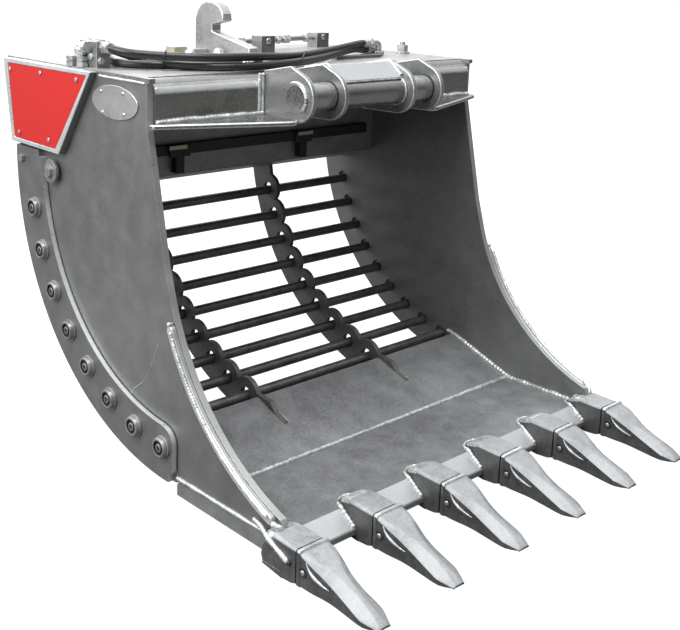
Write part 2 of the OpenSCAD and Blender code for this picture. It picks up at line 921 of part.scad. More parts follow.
hull_shift() {
    side_plate_left();
    side_plate_right();
    edge_strip_left();
    edge_strip_right();
    cutting_plate();
    floor_plate();
    rib_left();
    rib_right();
    drive_housing();
    deck_plate();
    front_beam();
    beam_flange();
    ear_pair_left();
    ear_pair_right();
    coupler_pins();
    centre_tube();
    coupler_gusset();
    catch_hook();
    side_cover_left();
    side_cover_right();
    panel_left();
    panel_right();
    panel_rivets();
    badge_plate();
    retaining_strip_left();
    retaining_strip_right();
    strip_bolts_left();
    strip_bolts_right();
    guide_bolts();
    bar_1();
    bar_2();
    bar_3();
    bar_4();
    bar_5();
    bar_6();
    bar_7();
    bar_8();
    bar_9();
    tooth_adapter_1();
    tooth_adapter_2();
    tooth_adapter_3();
    tooth_adapter_4();
    tooth_adapter_5();
    tooth_adapter_6();
    tooth_1();
    tooth_2();
    tooth_3();
    tooth_4();
    tooth_5();
    tooth_6();
    tooth_pins();
    seal_strip();
    eccentric_shaft();
    drive_bearing();
    hydraulic_motor();
    hose_upper();
    hose_lower();
    hose_short();
    deck_fittings();
    deck_bolts();
}
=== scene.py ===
"""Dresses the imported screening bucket: bevelled plates, weld beads, cast teeth, hoses and paint.

Lengths in this file are millimetres on the part's own drawing (deck level, +Z up, -Y to the teeth,
zero at the front beam's face), and row() turns them into metres in the row frame, whose origin is
the middle of the coupler pins.
"""

import json  # noqa: E402
import logging  # noqa: E402
import math  # noqa: E402
from dataclasses import dataclass, field  # noqa: E402
from enum import Enum  # noqa: E402
from typing import Any, Callable, Iterable, Sequence  # noqa: E402

import bmesh  # noqa: E402
import bpy  # noqa: E402
import numpy as np  # noqa: E402
from mathutils import Matrix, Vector  # noqa: E402

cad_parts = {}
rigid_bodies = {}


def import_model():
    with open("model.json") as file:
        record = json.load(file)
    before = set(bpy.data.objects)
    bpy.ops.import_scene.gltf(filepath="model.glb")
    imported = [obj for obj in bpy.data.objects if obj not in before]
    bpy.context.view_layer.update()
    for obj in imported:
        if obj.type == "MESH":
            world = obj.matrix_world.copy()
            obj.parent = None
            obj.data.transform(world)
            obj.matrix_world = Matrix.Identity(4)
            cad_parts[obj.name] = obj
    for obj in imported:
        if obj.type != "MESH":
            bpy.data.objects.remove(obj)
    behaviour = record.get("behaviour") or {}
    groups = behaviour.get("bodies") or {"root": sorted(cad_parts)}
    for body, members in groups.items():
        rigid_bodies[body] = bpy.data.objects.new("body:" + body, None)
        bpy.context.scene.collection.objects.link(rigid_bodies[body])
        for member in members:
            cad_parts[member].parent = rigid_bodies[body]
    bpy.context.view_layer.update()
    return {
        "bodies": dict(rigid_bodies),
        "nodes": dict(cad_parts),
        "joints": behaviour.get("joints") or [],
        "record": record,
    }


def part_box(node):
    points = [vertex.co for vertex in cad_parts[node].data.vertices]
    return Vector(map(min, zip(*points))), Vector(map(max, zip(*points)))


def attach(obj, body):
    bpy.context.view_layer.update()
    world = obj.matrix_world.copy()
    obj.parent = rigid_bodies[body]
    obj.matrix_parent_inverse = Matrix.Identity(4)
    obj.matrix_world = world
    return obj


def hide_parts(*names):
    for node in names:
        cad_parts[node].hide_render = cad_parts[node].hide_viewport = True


LOG = logging.getLogger("bucket")
SHELL = "shell"
MM = 0.001
# edges sharper than these angles are bevelled, in degrees: on a CAD node, and on a new piece
SHARP_CAD, SHARP_BAND = 34.0, 50.0
# points closer than these merge, in metres: on a CAD node's loose triangles, and on a new piece
MERGE_CAD, MERGE_NEW = 2e-5, 1e-6
DRAWING_SHIFT = np.array([0.0, 104.0, -803.0])
Points = np.ndarray
Row3 = tuple[float, float, float]
Pair = tuple[float, float]
Solid = tuple[Points, list]


def row(points: Any) -> Points:
    """Drawing millimetres to row-frame metres: add the drawing's shift, then scale by MM.

    Args:
        points: one point or an array of points, last axis X, Y, Z.

    Returns:
        The same shape in metres.
    """
    return (np.asarray(points, float) + DRAWING_SHIFT) * MM


# Finishes


class Look(Enum):
    """Which kind of shader detail a finish has."""

    PAINT = "paint"
    CAST = "cast"
    BAR = "bar"
    WELD = "weld"
    GLOSS = "gloss"
    RUBBER = "rubber"


@dataclass(frozen=True)
class Finish:
    """One surface finish: its tone, how far the mottle goes to either side of it, and its gloss."""

    name: str
    look: Look
    tone: Row3
    metallic: float
    roughness: float
    contrast: float


PLATE = Finish("plate_paint", Look.PAINT, (0.200, 0.203, 0.198), 0.60, 0.40, 0.16)
BEAM = Finish("beam_paint", Look.PAINT, (0.26, 0.265, 0.25), 0.88, 0.22, 0.12)
INNER = Finish("inner_paint", Look.PAINT, (0.262, 0.265, 0.270), 0.55, 0.44, 0.24)
BADGE = Finish("badge_steel", Look.PAINT, (0.40, 0.40, 0.395), 0.60, 0.34, 0.10)
EAR = Finish("ear_paint", Look.PAINT, (0.33, 0.333, 0.33), 0.75, 0.28, 0.16)
DECK = Finish("deck_paint", Look.PAINT, (0.35, 0.351, 0.343), 0.35, 0.32, 0.28)
GUSSET = Finish("gusset_paint", Look.PAINT, (0.44, 0.446, 0.452), 0.30, 0.50, 0.04)
# painted highlight: a lighter tone for the lip's slope that faces up and forward
LIP_SLOPE_LIT = Finish("lip_slope_lit", Look.PAINT, (0.50, 0.51, 0.52), 0.50, 0.42, 0.05)
# painted light: a lighter copy of the plate's paint for faces that look forward
FORWARD_FACES_LIT = Finish("forward_faces_lit", Look.PAINT, (0.42, 0.424, 0.42), 0.60, 0.32, 0.08)
# a pale paint; also a painted highlight band on the beam's rounding, and the ribs' edge tone
PALE_PAINT_AND_SHEEN = Finish("pale_paint_and_sheen", Look.PAINT, (0.40, 0.405, 0.40), 0.60, 0.32, 0.22)
# the edge strip's bright paint; also a painted highlight on the beam's rounding, the retaining strips' inner
# edges and the covers' upward faces
STRIP_PAINT_AND_SHEEN = Finish("strip_paint_and_sheen", Look.PAINT, (0.66, 0.67, 0.67), 0.55, 0.32, 0.10)
# the rounded edges' light tone: partly wear, partly painted highlight
EDGE_WEAR_AND_SHEEN = Finish("edge_paint", Look.PAINT, (0.60, 0.61, 0.61), 0.65, 0.28, 0.15)
CAST = Finish("cast_teeth", Look.CAST, (0.33, 0.342, 0.35), 0.35, 0.50, 0.20)
# painted shade: a dark copy of the cast tone for sides and undersides
CAST_SHADE = Finish("cast_shade", Look.CAST, (0.112, 0.112, 0.110), 0.50, 0.40, 0.30)
# the teeth's light edge tone: partly wear, partly painted highlight
CAST_EDGE_WEAR_AND_SHEEN = Finish("cast_edge_wear_and_sheen", Look.CAST, (0.62, 0.63, 0.64), 0.55, 0.30, 0.25)
BAR = Finish("bar_steel", Look.BAR, (0.16, 0.16, 0.155), 0.70, 0.34, 0.35)
RIB = Finish("rib_paint", Look.PAINT, (0.14, 0.142, 0.14), 0.55, 0.42, 0.28)
WELD = Finish("weld_bead", Look.WELD, (0.62, 0.63, 0.63), 0.65, 0.32, 0.35)
TUBE = Finish("tube_paint", Look.PAINT, (0.30, 0.302, 0.29), 0.90, 0.22, 0.10)
PIN = Finish("pin_steel", Look.PAINT, (0.38, 0.382, 0.38), 0.90, 0.24, 0.14)
ZINC = Finish("zinc_steel", Look.CAST, (0.50, 0.505, 0.51), 0.75, 0.30, 0.25)
# dark steel; also painted shade on the deck's edge faces and the ports' block's sides
COLLAR_STEEL_AND_SHADE = Finish("collar_steel_and_shade", Look.CAST, (0.25, 0.252, 0.25), 0.60, 0.36, 0.30)
# painted shadow: dark sheets and rings put in gaps, recesses and sockets where shade falls
PAINTED_SHADOW = Finish("socket_shadow", Look.PAINT, (0.035, 0.035, 0.036), 0.30, 0.50, 0.20)
# the deck blocks' dark tone; on the blocks' front faces it is painted shade
BLOCK = Finish("block_front", Look.CAST, (0.13, 0.135, 0.12), 0.50, 0.40, 0.25)
RED = Finish("red_plate", Look.GLOSS, (0.50, 0.0065, 0.0035), 0.0, 0.55, 0.02)
RUBBER = Finish("hose_rubber", Look.RUBBER, (0.014, 0.015, 0.014), 0.0, 0.30, 0.30)
SEAL = Finish("seal_rubber", Look.RUBBER, (0.014, 0.014, 0.015), 0.0, 0.50, 0.30)
BRASS = Finish("brass_yellow", Look.CAST, (0.46, 0.42, 0.32), 0.70, 0.40, 0.20)
DARK = Finish("dark_paint", Look.PAINT, (0.040, 0.040, 0.042), 0.20, 0.50, 0.20)

# a test on face centres, in drawing millimetres, and normals: True on the faces that it means
Where = Callable[[Points, Points], Points]


def set_inputs(node: Any, values: dict) -> None:
    """Fills a node's inputs: a socket is linked, anything else is the input's value.

    Args:
        node: the node.
        values: for each input's name or number, what it gets.
    """
    for key, value in values.items():
        if isinstance(value, bpy.types.NodeSocket):
            node.id_data.links.new(value, node.inputs[key])
        else:
            node.inputs[key].default_value = value


def add_node(tree: Any, kind: str, values: dict | None = None, **settings: Any) -> Any:
    """A new shader node.

    Args:
        tree: the tree it joins.
        kind: its type's name, without ShaderNode.
        values: as for set_inputs().
        settings: the node's own settings, made before its inputs are filled.

    Returns:
        The node.
    """
    node = tree.nodes.new("ShaderNode" + kind)
    for key, value in settings.items():
        setattr(node, key, value)
    set_inputs(node, values or {})
    return node


def new_material(name: str) -> Any:
    """A new material, and its main shader node."""
    material = bpy.data.materials.new(name)
    material.use_nodes = True
    return material, next(n for n in material.node_tree.nodes if n.type == "BSDF_PRINCIPLED")


class FinishShop:
    """Makes each finish's material once, from shared node groups."""

    # the stretch of the three noises' sum that the two colours span
    NOISE_SPAN = (1.14, 1.86)
    BUMP_STRENGTH = 0.5
    # how far the roughness goes below and above a finish's own
    ROUGH_SPAN = (-0.05, 0.12)
    # per metre: clouds, patches, speckles, waves, pits; then the pits' share and the bump height in metres
    TEXTURE = {
        Look.PAINT: (3.5, 22.0, 170.0, 22.0, 240.0, 0.15, 0.0002),
        Look.CAST: (12.0, 60.0, 220.0, 70.0, 300.0, 0.5, 0.0012),
        Look.BAR: (9.0, 40.0, 200.0, 60.0, 300.0, 0.5, 0.0008),
        Look.WELD: (30.0, 90.0, 200.0, 110.0, 300.0, 0.5, 0.0016),
        Look.GLOSS: (2.0, 8.0, 60.0, 8.0, 60.0, 0.1, 0.0001),
        Look.RUBBER: (20.0, 90.0, 400.0, 200.0, 900.0, 0.4, 0.0004),
    }

    def __init__(self) -> None:
        """Builds the shared groups."""
        self.made: dict[str, bpy.types.Material] = {}
        self.mottle = self._mottle_group()
        self.relief = self._relief_group()

    @staticmethod
    def _group(name: str, sockets: Sequence[tuple[str, str, str, Any]]) -> Any:
        """An empty node group with named sockets.

        Args:
            name: the group's name.
            sockets: rows of name, IN or OUT, socket type and default value.

        Returns:
            The group, its input node and its output node.
        """
        tree = bpy.data.node_groups.new(name, "ShaderNodeTree")
        for label, way, kind, value in sockets:
            made = tree.interface.new_socket(label, in_out=way + "PUT", socket_type="NodeSocket" + kind)
            if value is not None:
                made.default_value = value
        return tree, tree.nodes.new("NodeGroupInput"), tree.nodes.new("NodeGroupOutput")

    def _mottle_group(self) -> Any:
        """Paint that varies: clouds, hand-sized patches and fine speckle, added up between two colours.

        Returns:
            The group.
        """
        tree, start, end = self._group(
            "paint_mottle",
            [
                ("Vector", "IN", "Vector", None),
                ("Base", "IN", "Color", (0.2, 0.2, 0.2, 1)),
                ("Light", "IN", "Color", (0.3, 0.3, 0.3, 1)),
                ("Cloud Scale", "IN", "Float", 5.0),
                ("Patch Scale", "IN", "Float", 25.0),
                ("Speckle Scale", "IN", "Float", 200.0),
                ("Color", "OUT", "Color", None),
                ("Mask", "OUT", "Float", None),
            ],
        )
        total = 0.0
        for label, detail in (("Cloud Scale", 3.0), ("Patch Scale", 3.0), ("Speckle Scale", 2.0)):
            noise = self._noise(tree, start, label, detail)
            total = add_node(tree, "Math", {0: noise, 1: total}, operation="ADD").outputs[0]
        low, high = self.NOISE_SPAN
        spread = add_node(tree, "MapRange", {"Value": total, "From Min": low, "From Max": high}).outputs[0]
        mix = add_node(tree, "Mix", {"Factor": spread}, data_type="RGBA")
        base, light = (socket for socket in mix.inputs if socket.type == "RGBA")
        tree.links.new(start.outputs["Base"], base)
        tree.links.new(start.outputs["Light"], light)
        colour = next(socket for socket in mix.outputs if socket.type == "RGBA")
        set_inputs(end, {"Color": colour, "Mask": spread})
        return tree

    def _relief_group(self) -> Any:
        """Height of a rough surface: rolling waves plus a share of fine pits.

        Returns:
            The group.
        """
        tree, start, end = self._group(
            "surface_relief",
            [
                ("Vector", "IN", "Vector", None),
                ("Wave Scale", "IN", "Float", 30.0),
                ("Pit Scale", "IN", "Float", 400.0),
                ("Pit Share", "IN", "Float", 0.3),
                ("Height", "OUT", "Float", None),
            ],
        )
        wave = self._noise(tree, start, "Wave Scale", 3.0)
        pit = self._noise(tree, start, "Pit Scale", 2.0)
        part = add_node(tree, "Math", {0: pit, 1: start.outputs["Pit Share"]}, operation="MULTIPLY")
        total = add_node(tree, "Math", {0: wave, 1: part.outputs[0]}, operation="ADD")
        set_inputs(end, {"Height": total.outputs[0]})
        return tree

    @staticmethod
    def _noise(tree: Any, start: Any, scale: str, detail: float) -> Any:
        """A noise texture at a scale that its group is given.

        Args:
            tree: the group.
            start: the group's input node.
            scale: the name of the scale there.
            detail: the noise's detail.

        Returns:
            The texture's value, as a socket.
        """
        values = {"Vector": start.outputs["Vector"], "Scale": start.outputs[scale], "Detail": detail}
        return add_node(tree, "TexNoise", values).outputs["Fac"]

    def get(self, finish: Finish) -> bpy.types.Material:
        """The material of a finish, made at its first use.

        Args:
            finish: the finish wanted.

        Returns:
            Its material.
        """
        if finish.name in self.made:
            return self.made[finish.name]
        material, shader = new_material(finish.name)
        tree = material.node_tree
        clouds, hands, specks, waves, pits, share, height = self.TEXTURE[finish.look]
        place = add_node(tree, "TexCoord").outputs["Object"]
        base, light = ((*(c * (1 + way * finish.contrast) for c in finish.tone), 1) for way in (-1, 1))
        values = {"Vector": place, "Base": base, "Light": light}
        values |= {"Cloud Scale": clouds, "Patch Scale": hands, "Speckle Scale": specks}
        mottle = add_node(tree, "Group", values, node_tree=self.mottle)
        values = {"Vector": place, "Wave Scale": waves, "Pit Scale": pits, "Pit Share": share}
        relief = add_node(tree, "Group", values, node_tree=self.relief)
        values = {"Height": relief.outputs["Height"], "Strength": self.BUMP_STRENGTH, "Distance": height}
        bump = add_node(tree, "Bump", values)
        low, high = (finish.roughness + extra for extra in self.ROUGH_SPAN)
        rough = add_node(tree, "MapRange", {"Value": mottle.outputs["Mask"], "To Min": low, "To Max": high})
        set_inputs(shader, {
            "Base Color": mottle.outputs["Color"], "Metallic": finish.metallic,
            "Roughness": rough.outputs[0], "Normal": bump.outputs[0],
        })
        self.made[finish.name] = material
        return material


# Mesh tools


@dataclass
class Workshop:
    """Makes pieces, dresses CAD nodes and keeps the list of what was made."""

    frame: dict
    shop: FinishShop
    made: list = field(default_factory=list)
    # faces closer to one plane than this many degrees become one
    flat_angle: float = 0.6

    def piece(
        self,
        name: str,
        verts: Points,
        faces: Any,
        finish: Finish,
        slot: str = "silver_paint",
        replaces: Sequence[str] = (),
        body: str = SHELL,
        smooth: float = 40.0,
        patches: Sequence[tuple[Where, Finish]] = (),
    ) -> bpy.types.Object:
        """A new mesh object from arrays.

        Args:
            name: the piece's name.
            verts: points, in drawing millimetres.
            faces: rows of point indices.
            finish: its finish.
            slot: not used.
            replaces: CAD nodes it stands for.
            body: the CAD body it rides on.
            smooth: edges sharper than this many degrees stay sharp.
            patches: as for soften().

        Returns:
            The object.
        """
        mesh = bpy.data.meshes.new(name)
        mesh.from_pydata([tuple(p) for p in row(verts)], [], [tuple(int(i) for i in f) for f in faces])
        mesh.validate()
        obj = self._finish_piece(name, mesh, finish, replaces, body, smooth)
        self._patch(mesh, patches)
        return obj

    def group(
        self, name: str, parts: Iterable[Solid], smooth: float, finish: Finish = ZINC,
        slot: str = "plain_steel", **more: Any,
    ) -> None:
        """Several solids as one new piece, of bright metal where nothing else is said.

        Args:
            name: the piece's name.
            parts: the solids.
            smooth: as for piece().
            finish: its finish.
            slot: as for piece().
            more: what else piece() is given.
        """
        self.piece(name, *joined(parts), finish, slot, smooth=smooth, **more)

    def _patch(self, mesh: bpy.types.Mesh, patches: Sequence[tuple[Where, Finish]]) -> None:
        """Gives each face that passes a test the test's finish; the others keep the first one.

        Args:
            mesh: the mesh.
            patches: as for soften().
        """
        count = len(mesh.polygons)
        centres, normals = np.empty(count * 3, np.float32), np.empty(count * 3, np.float32)
        mesh.polygons.foreach_get("center", centres)
        mesh.polygons.foreach_get("normal", normals)
        centres = centres.reshape(-1, 3) / MM - DRAWING_SHIFT
        chosen = np.zeros(count, np.int32)
        for test, other in patches:
            chosen[test(centres, normals.reshape(-1, 3))] = len(mesh.materials)
            mesh.materials.append(self.shop.get(other))
        mesh.polygons.foreach_set("material_index", chosen)

    def _finish_piece(
        self, name: str, mesh: Any, finish: Finish, replaces: Sequence[str], body: str,
        smooth: float,
    ) -> bpy.types.Object:
        """Links a mesh as a finished, riding piece.

        Args:
            name: the piece's name.
            mesh: its mesh, already in place.
            finish: its first finish.
            replaces: CAD nodes it stands for.
            body: the body it rides on.
            smooth: edges sharper than this many degrees stay sharp.

        Returns:
            The object.
        """
        work = bmesh.new()
        work.from_mesh(mesh)
        bmesh.ops.remove_doubles(work, verts=work.verts, dist=MERGE_NEW)
        bmesh.ops.recalc_face_normals(work, faces=work.faces)
        work.to_mesh(mesh)
        work.free()
        mesh.shade_smooth()
        mesh.set_sharp_from_angle(angle=math.radians(smooth))
        obj = bpy.data.objects.new(name, mesh)
        bpy.context.scene.collection.objects.link(obj)
        mesh.materials.append(self.shop.get(finish))
        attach(obj, body)
        if replaces:
            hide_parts(*replaces)
        self.made.append(name)
        return obj

    def soften(
        self,
        node: str,
        finish: Finish,
        edge: Finish | None = None,
        width: float = 1.5,
        segments: int = 2,
        body: str = SHELL,
        slot: str = "silver_paint",
        patches: Sequence[tuple[Where, Finish]] = (),
        drop: Where | None = None,
        moves: Sequence[tuple[Pair, Pair]] = (),
    ) -> bpy.types.Object:
        """Replaces a CAD node by a merged copy whose sharp edges are rounded and given a lighter tone, partly
        wear and partly painted highlight.

        Args:
            node: the CAD node.
            finish: the finish of its faces.
            edge: the finish of its rounded edges, or None for the same one.
            width: the rounding, in millimetres.
            segments: faces across the rounding.
            body: the body it rides on.
            slot: not used.
            patches: pairs of a test on face centres (drawing millimetres) and normals, and the finish
                that the faces passing it get instead.
            drop: a test on face centres and normals; faces passing it are left to other pieces.
            moves: pairs of an outline corner (y, z) and the place it is moved to.

        Returns:
            The new piece.
        """
        mesh = self.frame["nodes"][node].data.copy()
        mesh.materials.clear()
        work = bmesh.new()
        work.from_mesh(mesh)
        for f in work.faces:
            f.material_index = 0
        bmesh.ops.remove_doubles(work, verts=work.verts, dist=MERGE_CAD)
        for old, new in moves:
            for v in work.verts:
                place = np.array(v.co) / MM - DRAWING_SHIFT
                if math.hypot(place[1] - old[0], place[2] - old[1]) < 1.0:
                    v.co.y, v.co.z = v.co.y + (new[0] - old[0]) * MM, v.co.z + (new[1] - old[1]) * MM
        if drop is not None:
            centres = np.array([f.calc_center_median() for f in work.faces]) / MM - DRAWING_SHIFT
            gone = drop(centres, np.array([f.normal for f in work.faces]))
            bmesh.ops.delete(work, geom=[f for f, out in zip(work.faces, gone) if out], context="FACES")
        flat = math.radians(self.flat_angle)
        bmesh.ops.dissolve_limit(
            work, angle_limit=flat, verts=work.verts, edges=work.edges, use_dissolve_boundaries=False
        )
        work.to_mesh(mesh)
        work.free()
        obj = self._finish_piece(node + "_dressed", mesh, finish, [node], body, SHARP_CAD)
        if edge is not None:
            mesh.materials.append(self.shop.get(edge))
        self._patch(mesh, patches)
        bevel = self._bevel(obj, width, segments, SHARP_CAD)
        bevel.miter_outer = "MITER_ARC"
        bevel.material = 1 if edge is not None else -1
        even = obj.modifiers.new("flat_faces", "WEIGHTED_NORMAL")
        even.keep_sharp, even.weight = True, 100
        return obj

    def rounded(self, obj: bpy.types.Object, width: float, segments: int) -> None:
        """Rounds a new piece's sharp edges, with the light edge finish: partly wear, partly painted
        highlight.

        Args:
            obj: the piece.
            width: the rounding, in millimetres.
            segments: faces across it.
        """
        obj.data.materials.append(self.shop.get(EDGE_WEAR_AND_SHEEN))
        bevel = self._bevel(obj, width, segments, SHARP_BAND)
        bevel.material = len(obj.data.materials) - 1

    @staticmethod
    def _bevel(obj: bpy.types.Object, width: float, segments: int, angle: float) -> Any:
        """A bevel modifier on the edges sharper than an angle.

        Args:
            obj: the piece.
            width: the bevel's width, in millimetres.
            segments: faces across it.
            angle: the angle, in degrees.

        Returns:
            The modifier.
        """
        bevel = obj.modifiers.new("rounded", "BEVEL")
        bevel.width, bevel.segments, bevel.limit_method = width * MM, segments, "ANGLE"
        bevel.angle_limit = math.radians(angle)
        bevel.harden_normals = True
        return bevel

    def dress(self, node: str, finish: Finish) -> None:
        """Gives a CAD node that stays a new material.

        Args:
            node: the CAD node.
            finish: the finish it gets.
        """
        mesh = self.frame["nodes"][node].data
        mesh.materials.clear()
        mesh.materials.append(self.shop.get(finish))
        mesh.polygons.foreach_set("material_index", np.zeros(len(mesh.polygons), np.int32))


def ring_faces(rings: int, sides: int, capped: bool = True) -> list:
    """Faces of a row of rings: quads from each ring to the next, and a cap on both ends.

    Args:
        rings: rings along the path.
        sides: points on each ring.
        capped: False leaves the ends open.

    Returns:
        The faces.
    """
    i, j = np.meshgrid(np.arange(rings - 1), np.arange(sides), indexing="ij")
    k = (j + 1) % sides
    quads = np.stack([i * sides + j, i * sides + k, (i + 1) * sides + k, (i + 1) * sides + j], -1)
    faces = [tuple(f) for f in quads.reshape(-1, 4)]
    if capped:
        last = (rings - 1) * sides
        faces += [tuple(range(sides)), tuple(range(last + sides - 1, last - 1, -1))]
    return faces


def resample(path: Any, step: float) -> Points:
    """Points at even distances along a path of straight runs.

    Args:
        path: the path's corners.
        step: the distance wanted between points.

    Returns:
        The new points.
    """
    path = np.asarray(path, float)
    runs = np.r_[0.0, np.cumsum(np.linalg.norm(np.diff(path, axis=0), axis=1))]
    count = max(3, int(round(runs[-1] / step)) + 1)
    at = np.linspace(0, runs[-1], count)
    return np.stack([np.interp(at, runs, path[:, a]) for a in range(3)], -1)


def curve_through(path: Any, per_span: int) -> Points:
    """A smooth curve through given points: the Catmull-Rom formula on every span at once.

    Args:
        path: the points.
        per_span: samples in each span.

    Returns:
        The curve's points.
    """
    p = np.asarray(path, float)
    padded = np.vstack([p[:1], p, p[-1:]])
    a, b, c, d = (padded[k : len(padded) - 3 + k][:, None] for k in range(4))
    t = np.linspace(0, 1, per_span, endpoint=False)[None, :, None]
    spans = 0.5 * (2 * b + (c - a) * t + (2 * a - 5 * b + 4 * c - d) * t**2 + (3 * b - a - 3 * c + d) * t**3)
    return np.vstack([spans.reshape(-1, p.shape[1]), p[-1:]])


def tube(path: Points, radius: Any, sides: int, up: Row3 = (0, 0, 1)) -> Solid:
    """A capped tube: a circle of the given radius carried square to the path.

    Args:
        path: centre points.
        radius: one radius or one for each point.
        sides: points round the circle.
        up: a direction that is never along the path.

    Returns:
        Points and faces.
    """
    along = np.gradient(path, axis=0)
    along /= np.linalg.norm(along, axis=1, keepdims=True)
    side = np.cross(along, np.asarray(up, float))
    side /= np.linalg.norm(side, axis=1, keepdims=True)
    rise = np.cross(side, along)
    turn = np.linspace(0, 2 * math.pi, sides, endpoint=False)[None, :, None]
    r = np.broadcast_to(np.asarray(radius, float), (len(path),))[:, None, None]
    ring = path[:, None] + r * (np.cos(turn) * side[:, None] + np.sin(turn) * rise[:, None])
    return ring.reshape(-1, 3), ring_faces(len(path), sides)


def joined(parts: Iterable[Solid]) -> Solid:
    """Several meshes as one list of points and faces.

    Args:
        parts: pairs of points and faces.

    Returns:
        The joined points and faces.
    """
    points, faces, base = [], [], 0
    for verts, made in parts:
        points.append(np.asarray(verts, float))
        faces += [tuple(int(i) + base for i in f) for f in made]
        base += len(verts)
    return np.vstack(points), faces


# for each axis: its direction and the two square to it
AXES = {
    "x": ((1, 0, 0), (0, 1, 0), (0, 0, 1)),
    "-x": ((-1, 0, 0), (0, 1, 0), (0, 0, 1)),
    "-y": ((0, -1, 0), (1, 0, 0), (0, 0, 1)),
    "z": ((0, 0, 1), (1, 0, 0), (0, 1, 0)),
}


def turned(profile: Any, centre: Row3, axis: str, sides: int = 32, ring: bool = False) -> Solid:
    """A turned part: a profile of (distance along the axis, radius) spun round the axis.

    Args:
        profile: rows of distance and radius, from one end to the other.
        centre: the axis's start point.
        axis: a key of AXES.
        sides: points round.
        ring: True joins the profile's end to its start, where it would otherwise be capped.

    Returns:
        Points and faces.
    """
    profile = np.asarray(profile, float)
    if ring:
        profile = np.vstack([profile, profile[:1]])
    turn = np.linspace(0, 2 * math.pi, sides, endpoint=False)[:, None]
    along, one, two = np.asarray(AXES[axis], float)
    spun = np.cos(turn) * one + np.sin(turn) * two
    points = profile[:, 0, None, None] * along + profile[:, 1, None, None] * spun[None]
    return points.reshape(-1, 3) + np.asarray(centre, float), ring_faces(len(profile), sides, not ring)


def prism(profile: Any, x0: float, x1: float) -> Solid:
    """A flat outline of (Y, Z) points carried along X from x0 to x1, with both ends closed."""
    ends = [at_x(x, profile) for x in (x0, x1)]
    return np.vstack(ends), ring_faces(2, len(ends[0]))


def bar(y: Pair, z: Pair, x: Pair) -> Solid:
    """A square bar between two places on each axis."""
    return prism([(y[0], z[0]), (y[1], z[0]), (y[1], z[1]), (y[0], z[1])], *x)


def plate(outline: Any, z0: float, z1: float) -> Solid:
    """A flat plate: an outline of (X, Y) points between two heights."""
    ends = [np.column_stack([outline, np.full(len(outline), z)]) for z in (z0, z1)]
    return np.vstack(ends), ring_faces(2, len(outline))


def mirrored_loft(y: Points, half: Points, x0: float) -> Solid:
    """A closed body from half sections: each row of (X, Z) points runs from the top middle to the bottom
    middle, and its mirror image closes the ring.

    Args:
        y: the place of each section.
        half: the half sections, sections by points by (X, Z).
        x0: the middle of the body.

    Returns:
        Points and faces.
    """
    section = np.concatenate([half, half[:, -2:0:-1] * (-1, 1)], 1)
    places = np.broadcast_to(y[:, None], section.shape[:2])
    points = np.stack([section[..., 0] + x0, places, section[..., 1]], -1)
    return points.reshape(-1, 3), ring_faces(len(y), section.shape[1])


@dataclass
class WeldShop:
    """Lays weld beads: rippled tubes half sunk in the seam, as one piece for each seam group."""

    work: Workshop
    pitch: float = 6.0
    ripple: float = 0.13
    # the furthest that a bead wanders, in millimetres and as a share of its radius
    deepest: float = 0.7
    wander_share: float = 0.10
    # a bead's least radius as a share of the named one, and its ends'
    base_share: float = 0.80
    end_share: float = 0.35
    # the slow swell: its span, and the distance between its knots
    swell: Pair = (0.82, 1.18)
    knot_step: float = 20.0
    steps_a_ripple: int = 4
    # the shortest ripple, in radii, and how many points the wander is evened over
    least_pitch: float = 1.5
    even_over: int = 5
    # a seam that rises by more than this share of its length is swept with X as its square direction
    steep: float = 0.8
    sides: int = 9
    # a bead's own seed is this one plus its path's sum, which starts again at seed_span
    seed: int = 7
    seed_span: int = 9973

    def bead(self, path: Any, radius: float) -> Solid:
        """One bead. Its radius is R(base + ripple |sin(pi s / pitch)|) with a slow random swell.

        Args:
            path: the seam's corners, in drawing millimetres.
            radius: the bead's radius.

        Returns:
            Points and faces.
        """
        own = int(abs(np.sum(np.asarray(path, float)))) % self.seed_span
        rng = np.random.default_rng(self.seed + own)
        pitch = max(self.pitch, self.least_pitch * radius)
        line = resample(path, pitch / self.steps_a_ripple)
        s = np.arange(len(line)) * pitch / self.steps_a_ripple
        knots = max(3, int(s[-1] / self.knot_step) + 2)
        swell = np.interp(s, np.linspace(0, s[-1] + 1, knots), rng.uniform(*self.swell, knots))
        size = radius * swell * (self.base_share + self.ripple * np.abs(np.sin(math.pi * s / pitch)))
        size[0] = size[-1] = radius * self.end_share
        wander = rng.normal(0, min(self.wander_share * radius, self.deepest / 2), line.shape)
        kernel = np.ones(self.even_over) / self.even_over
        wander = np.stack([np.convolve(wander[:, a], kernel, "same") for a in range(3)], -1)
        ends = line[-1] - line[0]
        up = (0, 0, 1) if abs(ends[2]) < self.steep * np.linalg.norm(ends) else (1, 0, 0)
        return tube(line + wander, size, self.sides, up)

    def lay(self, name: str, seams: Sequence[tuple[Any, float]], mirrored: bool = False) -> None:
        """Lays several beads as one piece.

        Args:
            name: the piece's name.
            seams: pairs of path and radius.
            mirrored: True also lays them on the other side.
        """
        parts = [self.bead(path, radius) for path, radius in seams]
        if mirrored:
            parts += [self.bead(np.asarray(path, float) * (-1, 1, 1), radius) for path, radius in seams]
        self.work.group(name, parts, 60.0, WELD, "silver_paint")


# Sub-assemblies


def arc(centre: Pair, radius: float, start: float, stop: float, count: int) -> Points:
    """Points (Y, Z) on an arc, angles in degrees from +Y towards +Z."""
    a = np.radians(np.linspace(start, stop, count))
    return np.stack([centre[0] + radius * np.cos(a), centre[1] + radius * np.sin(a)], -1)


def at_x(x: float, yz: Any) -> Points:
    """Points (Y, Z) put at one X."""
    yz = np.asarray(yz, float)
    return np.column_stack([np.full(len(yz), x), yz])


